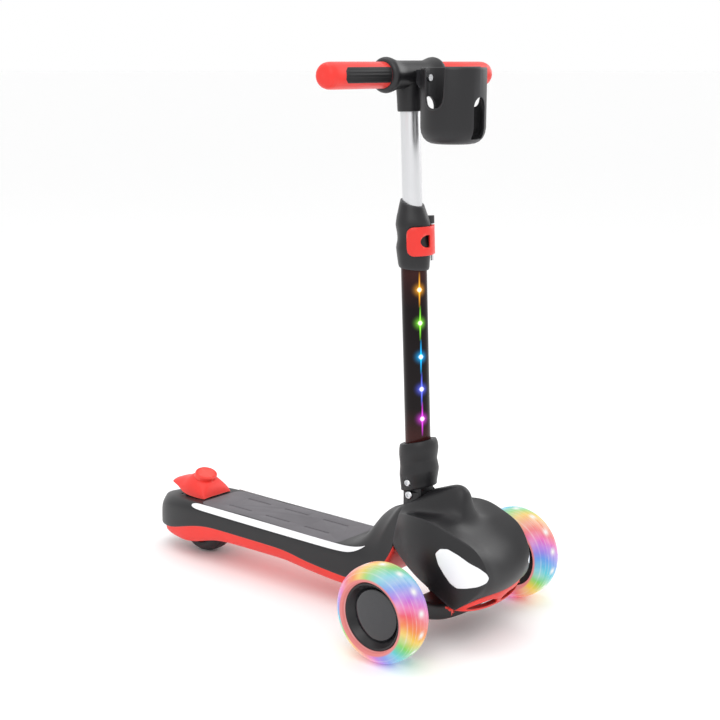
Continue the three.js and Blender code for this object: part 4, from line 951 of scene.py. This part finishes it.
gripLook = {"start": 50.3, "end": 155, "radius": 15.5, "inlayFrom": 51, "inlayTo": 132, "half": 35, "lean": 2}
for sign, word in ((-1, "left"), (1, "right")):
    turn = alongX if sign > 0 else towardsLeft
    grip = [(9.3, gripLook["start"]), (15.5, gripLook["start"]), (15.5, 141), (15.3, 145.5), (14.3, 149.8), (12.4, 152.8), (9.6, 154.5), (5, 155), (0, 155), (0, 149.3), (9.3, 149.3)]
    bm = bmesh.new()
    spun(bm, softened([Vector(p) for p in grip], 0.6), 96, barFrame @ turn)
    outward(bm)
    handle = toObject("grip", bm)
    for facing in (1, -1):
        # insert with long ridges, from the collar to a blunt point near the end
        ribs = []
        rows = 44
        for i in range(rows + 1):
            x = gripLook["inlayFrom"] + (gripLook["inlayTo"] - gripLook["inlayFrom"]) * i / rows
            toTip = (gripLook["inlayTo"] - x) / 5.0
            wide = gripLook["half"] * (1 if toTip >= 1 else 0.5 + 0.5 * toTip)
            row = []
            for j in range(33):
                t = j / 16 - 1
                phi = math.radians(gripLook["lean"] + wide * t)
                ridge = 0.42 * (0.5 + 0.5 * math.cos(math.pi * 5 * t)) if abs(t) < 0.9 and 1 < i < rows - 2 else 0.1
                r = 15.55 + ridge
                row.append(barFrame @ Vector((sign * x / 1000, -facing * r * math.cos(phi) / 1000, r * math.sin(phi) / 1000)))
            ribs.append(row)
        bm, _, _ = lofted(ribs)
        outward(bm)
        insert = toObject("insert", bm)
        direction = insert.data.polygons[len(insert.data.polygons) // 2].normal
        if direction.y * -facing < 0:
            insert.data.flip_normals()
        insert = walled(insert, 0.0012)
        settle(insert, f"{word}Inlay{'Front' if facing > 0 else 'Rear'}", "handlebar", "grip_black", finish["blackGrip"], [f"{word}_inlay_{'front' if facing > 0 else 'rear'}"], sharp=50)
    settle(handle, word + "Grip", "handlebar", "grip_red", finish["redShell"], [word + "_grip"])
print("handlebar made")

# ---- cup holder ---------------------------------------------------------------------------

cupCentre = barFrame @ Matrix.Translation((0, -0.066, 0))
cupBase, cupTop = -79.0, 9.0
cupWall = [(0, cupBase), (22, cupBase), (26.5, cupBase + 0.8), (31, cupBase + 3), (35, cupBase + 7), (37.5, cupBase + 12.4), (38.6, cupBase + 19), (38.8, cupTop - 3), (38.4, cupTop - 0.8),
           (37.6, cupTop), (36.6, cupTop - 0.4), (36.2, cupTop - 2), (36.0, cupBase + 20), (34.8, cupBase + 13.6), (32.8, cupBase + 9.6), (29.4, cupBase + 6), (25.6, cupBase + 3.8), (22, cupBase + 2.8),
           (0, cupBase + 2.8)]
bm = bmesh.new()
spun(bm, [Vector(p) for p in cupWall], 128, cupCentre)
outward(bm)
cup = toObject("cup", bm)


def throughX(outline, length, rounding):
    place = cupCentre @ Matrix(((0, 0, 1, -length / 2000), (1, 0, 0, 0), (0, 1, 0, 0), (0, 0, 0, 1)))
    return prism(outline, length, place, rounding, 5)


slotLook = {"floor": cupBase + 40}
uShape = [(-15, cupTop + 6), (-14.4, cupTop - 4), (-13.4, slotLook["floor"] + 13), (-11, slotLook["floor"] + 5.4), (-6, slotLook["floor"] + 1), (0, slotLook["floor"]),
          (6, slotLook["floor"] + 1), (11, slotLook["floor"] + 5.4), (13.4, slotLook["floor"] + 13), (14.4, cupTop - 4), (15, cupTop + 6)]
cut(cup, throughX(uShape, 120, 1.2))
lowWindow = [(-10.4, cupBase + 6), (-10.4, cupBase + 44), (-8.6, cupBase + 49.5), (-4.4, cupBase + 53.6), (0, cupBase + 54.6), (4.4, cupBase + 53.6), (8.6, cupBase + 49.5), (10.4, cupBase + 44),
             (10.4, cupBase + 6)]
for facing in (-1, 1):
    place = cupCentre @ Matrix(((1, 0, 0, 0), (0, 0, facing, facing * 0.012), (0, 1, 0, 0), (0, 0, 0, 1)))
    cut(cup, prism(lowWindow, 60, place, 2.0, 4))
hangerPlace = cupCentre @ Matrix(((0, 0, 1, -0.008), (1, 0, 0, 0), (0, 1, 0, 0), (0, 0, 0, 1)))
hanger = prism([(36.6, -15), (36.6, 6), (49.6, 6), (49.6, -9), (45, -15)], 16, hangerPlace, 1.2)
cut(hanger, barTool(17.1, -60, 60, barFrame @ alongX, 96))
cut(cup, hanger, "UNION")
# raised bead round each open slot
for sign in (-1, 1):
    path = [Vector((38.2, y, z)) for y, z in softened([Vector((y, min(z, cupTop - 1.0))) for y, z in uShape], 3.0, 5)]
    rings = []
    for k, p in enumerate(path):
        ahead = (path[min(k + 1, len(path) - 1)] - path[max(k - 1, 0)]).normalized()
        reach = math.sqrt(max(38.2 ** 2 - p.y ** 2, 1))
        radial = Vector((reach, p.y, 0)).normalized()
        side = ahead.cross(radial).normalized()
        ring = []
        for j in range(10):
            t = 2 * math.pi * j / 10
            q = Vector((reach, p.y, p.z)) + radial * (1.15 * math.cos(t)) + side * (1.35 * math.sin(t))
            ring.append(cupCentre @ Vector((sign * q.x / 1000, q.y / 1000, q.z / 1000)))
        rings.append(ring)
    bm, head, foot = lofted(rings, True)
    capped(bm, head)
    capped(bm, foot)
    outward(bm)
    cut(cup, toObject("bead", bm), "UNION")
settle(cup, "cupHolder", "handlebar", "black_shell", finish["blackShell"], ["cup_holder"], sharp=40)
print("cup holder made")

# ---- brake -----------------------------------------------------------------------------------

axleBack = (rearCentre.y - axleY) * 1000
# half sections of the red pedal: y behind the front axle, then (x, z) from the middle line to the edge
pedalHalf = [
    (421.5, [(0, 85.6), (8, 85.6), (15, 85.5), (21, 85.4), (24.5, 85.2), (25.4, 84.8)]),
    (423, [(0, 92.4), (8, 92.2), (15, 91.6), (21, 90), (25.8, 87.4), (26.6, 84.8)]),
    (426.5, [(0, 98.4), (9, 98.2), (16, 97.2), (22, 94.4), (26.6, 90.4), (27.4, 84.8)]),
    (433, [(0, 104), (9, 103.6), (16, 102), (22.4, 98), (27, 92.4), (28, 84.8)]),
    (441, [(0, 109.4), (9, 108.8), (16.4, 106.4), (22.8, 101), (27.2, 94.2), (28.2, 84.9)]),
    (450, [(0, 113.4), (9, 112.4), (16.4, 109), (22.8, 102.6), (27.2, 95.2), (28.2, 85.4)]),
    (458, [(0, 114.6), (9, 113.2), (16, 108.6), (22, 102.4), (26.8, 95.6), (28, 86.2)]),
    (465, [(0, 111.6), (9, 110), (15.6, 106.4), (21, 101.4), (25.6, 95.6), (27, 87.4)]),
    (471, [(0, 107.8), (8.6, 106.8), (15, 104), (19.8, 100), (24, 95.4), (25.6, 89.4)]),
    (478, [(0, 105.6), (8.4, 104.8), (14, 102.6), (18.4, 99.2), (21.8, 95.8), (23, 91.6)]),
    (487, [(0, 103.2), (8, 102.5), (13, 100.7), (17, 98), (19.4, 95.6), (20.2, 93.4)]),
    (496, [(0, 99.8), (7, 99.4), (11.6, 98.2), (15, 96.6), (17, 95.4), (17.6, 94.4)]),
    (502.5, [(0, 97.2), (5, 97), (8.6, 96.4), (11.4, 95.8), (13, 95.2), (13.6, 94.8)]),
]
bm, _, tail = lofted([mirroredRow([(x, y, z) for x, z in half]) for y, half in pedalHalf])
capped(bm, tail)
outward(bm)
pedal = refined(toObject("pedal", bm), 2)
pedal = walled(pedal, 0.0022)


def ovalPad(grow, low, high):
    # oval whose flat face leans down towards the rider's toe
    place = Matrix.Translation(at(0, 445.5, 110.2)) @ Matrix.Rotation(math.radians(24), 4, "X")
    bm = bmesh.new()
    wide, long = 17.4 + grow, 14.4 + grow
    rim = [(0.0, low), (1.0, low), (1.0, high - 1.1), (0.975, high - 0.45), (0.93, high - 0.08), (0.88, high), (0.0, high)]
    made = spun(bm, [Vector((r * 1000 / 1000, h)) for r, h in rim], 72, Matrix.Identity(4))
    for v in made:
        v.co.x *= wide
        v.co.y *= long
    bmesh.ops.transform(bm, matrix=place, verts=bm.verts)
    outward(bm)
    return toObject("tool", bm)


cut(pedal, ovalPad(0, -2.4, 4.2), "UNION")
ringTool = ovalPad(-2.2, 3.3, 6)
cut(ringTool, ovalPad(-2.9, 2, 7))
cut(pedal, ringTool)
settle(pedal, "brakePedal", "brake", "red_shell", finish["redShell"], ["brake_pedal"], sharp=34)
print("brake made")

# ---- pieces that keep their own shape ------------------------------------------------------

for node, look in {
    "front_frame": "redShell", "kingpin_bolt": "steel", "kingpin_nut": "steel", "fold_pivot_nut": "steel", "rear_axle_bolt": "steel", "rear_axle_nut": "steel",
    "brake_pin": "steel", "brake_spring": "steel", "steering_bush": "darkRubber", "left_wheel_axle_bolt": "steel", "right_wheel_axle_bolt": "steel",
    "left_wheel_bearing_inner": "steel", "left_wheel_bearing_outer": "steel", "right_wheel_bearing_inner": "steel", "right_wheel_bearing_outer": "steel",
    "rear_bearing_left": "steel", "rear_bearing_right": "steel", "brake_shoe": "darkRubber", "stem_foot": "blackShell", "led_strip": "lampStrip", "lever_pin": "steel",
    "clamp_bush": "darkRubber", "slide_bush": "darkRubber", "bar_core": "aluminium", "cup_screw": "steel",
}.items():
    dressed(node, finish[look])

# ---- floor, light and camera ------------------------------------------------------------------

def studio():
    mat, tree, shader, vector = startMaterial("studioFloor", (0.985, 0.985, 0.985), 0.8, Specular_IOR_Level=0.1)
    tree.links.new(spread(tree, noiseOf(tree, vector, 3, 2), 0.3, 0.7, 0.56, 0.64), shader.inputs["Roughness"])
    bm = bmesh.new()
    verts = [bm.verts.new(p) for p in ((-400, -400, 0), (400, -400, 0), (400, 400, 0), (-400, 400, 0))]
    bmesh.ops.contextual_create(bm, geom=verts)
    bmesh.ops.recalc_face_normals(bm, faces=bm.faces)
    floor = toObject("studioFloor", bm)
    floor.data.materials.append(mat)
    world = bpy.data.worlds.new("studio")
    world.use_nodes = True
    world.node_tree.nodes["Background"].inputs["Color"].default_value = (1, 1, 1, 1)
    world.node_tree.nodes["Background"].inputs["Strength"].default_value = 1.0
    scene.world = world
    for name, place, size, power in (("keyPanel", (-1.6, -1.2, 2.2), 1.6, 16), ("sidePanel", (1.9, -0.6, 1.3), 1.2, 9), ("topPanel", (0.0, 0.4, 2.6), 2.0, 14)):
        data = bpy.data.lights.new(name, "AREA")
        data.shape, data.size, data.energy = "SQUARE", size, power
        lamp = bpy.data.objects.new(name, data)
        lamp.location = place
        lamp.rotation_euler = (Vector((0, 0, 0.3)) - Vector(place)).to_track_quat("-Z", "Y").to_euler()
        scene.collection.objects.link(lamp)


studio()
data = bpy.data.cameras.new("camera")
data.lens, data.sensor_width, data.clip_end = 70.2, 36, 100
camera = bpy.data.objects.new("camera", data)
camera.location = (-1.3393, -1.2098, 0.6952)
camera.rotation_euler = Vector((0.744, 0.635, -0.208)).to_track_quat("-Z", "Y").to_euler()
scene.collection.objects.link(camera)
scene.camera = camera
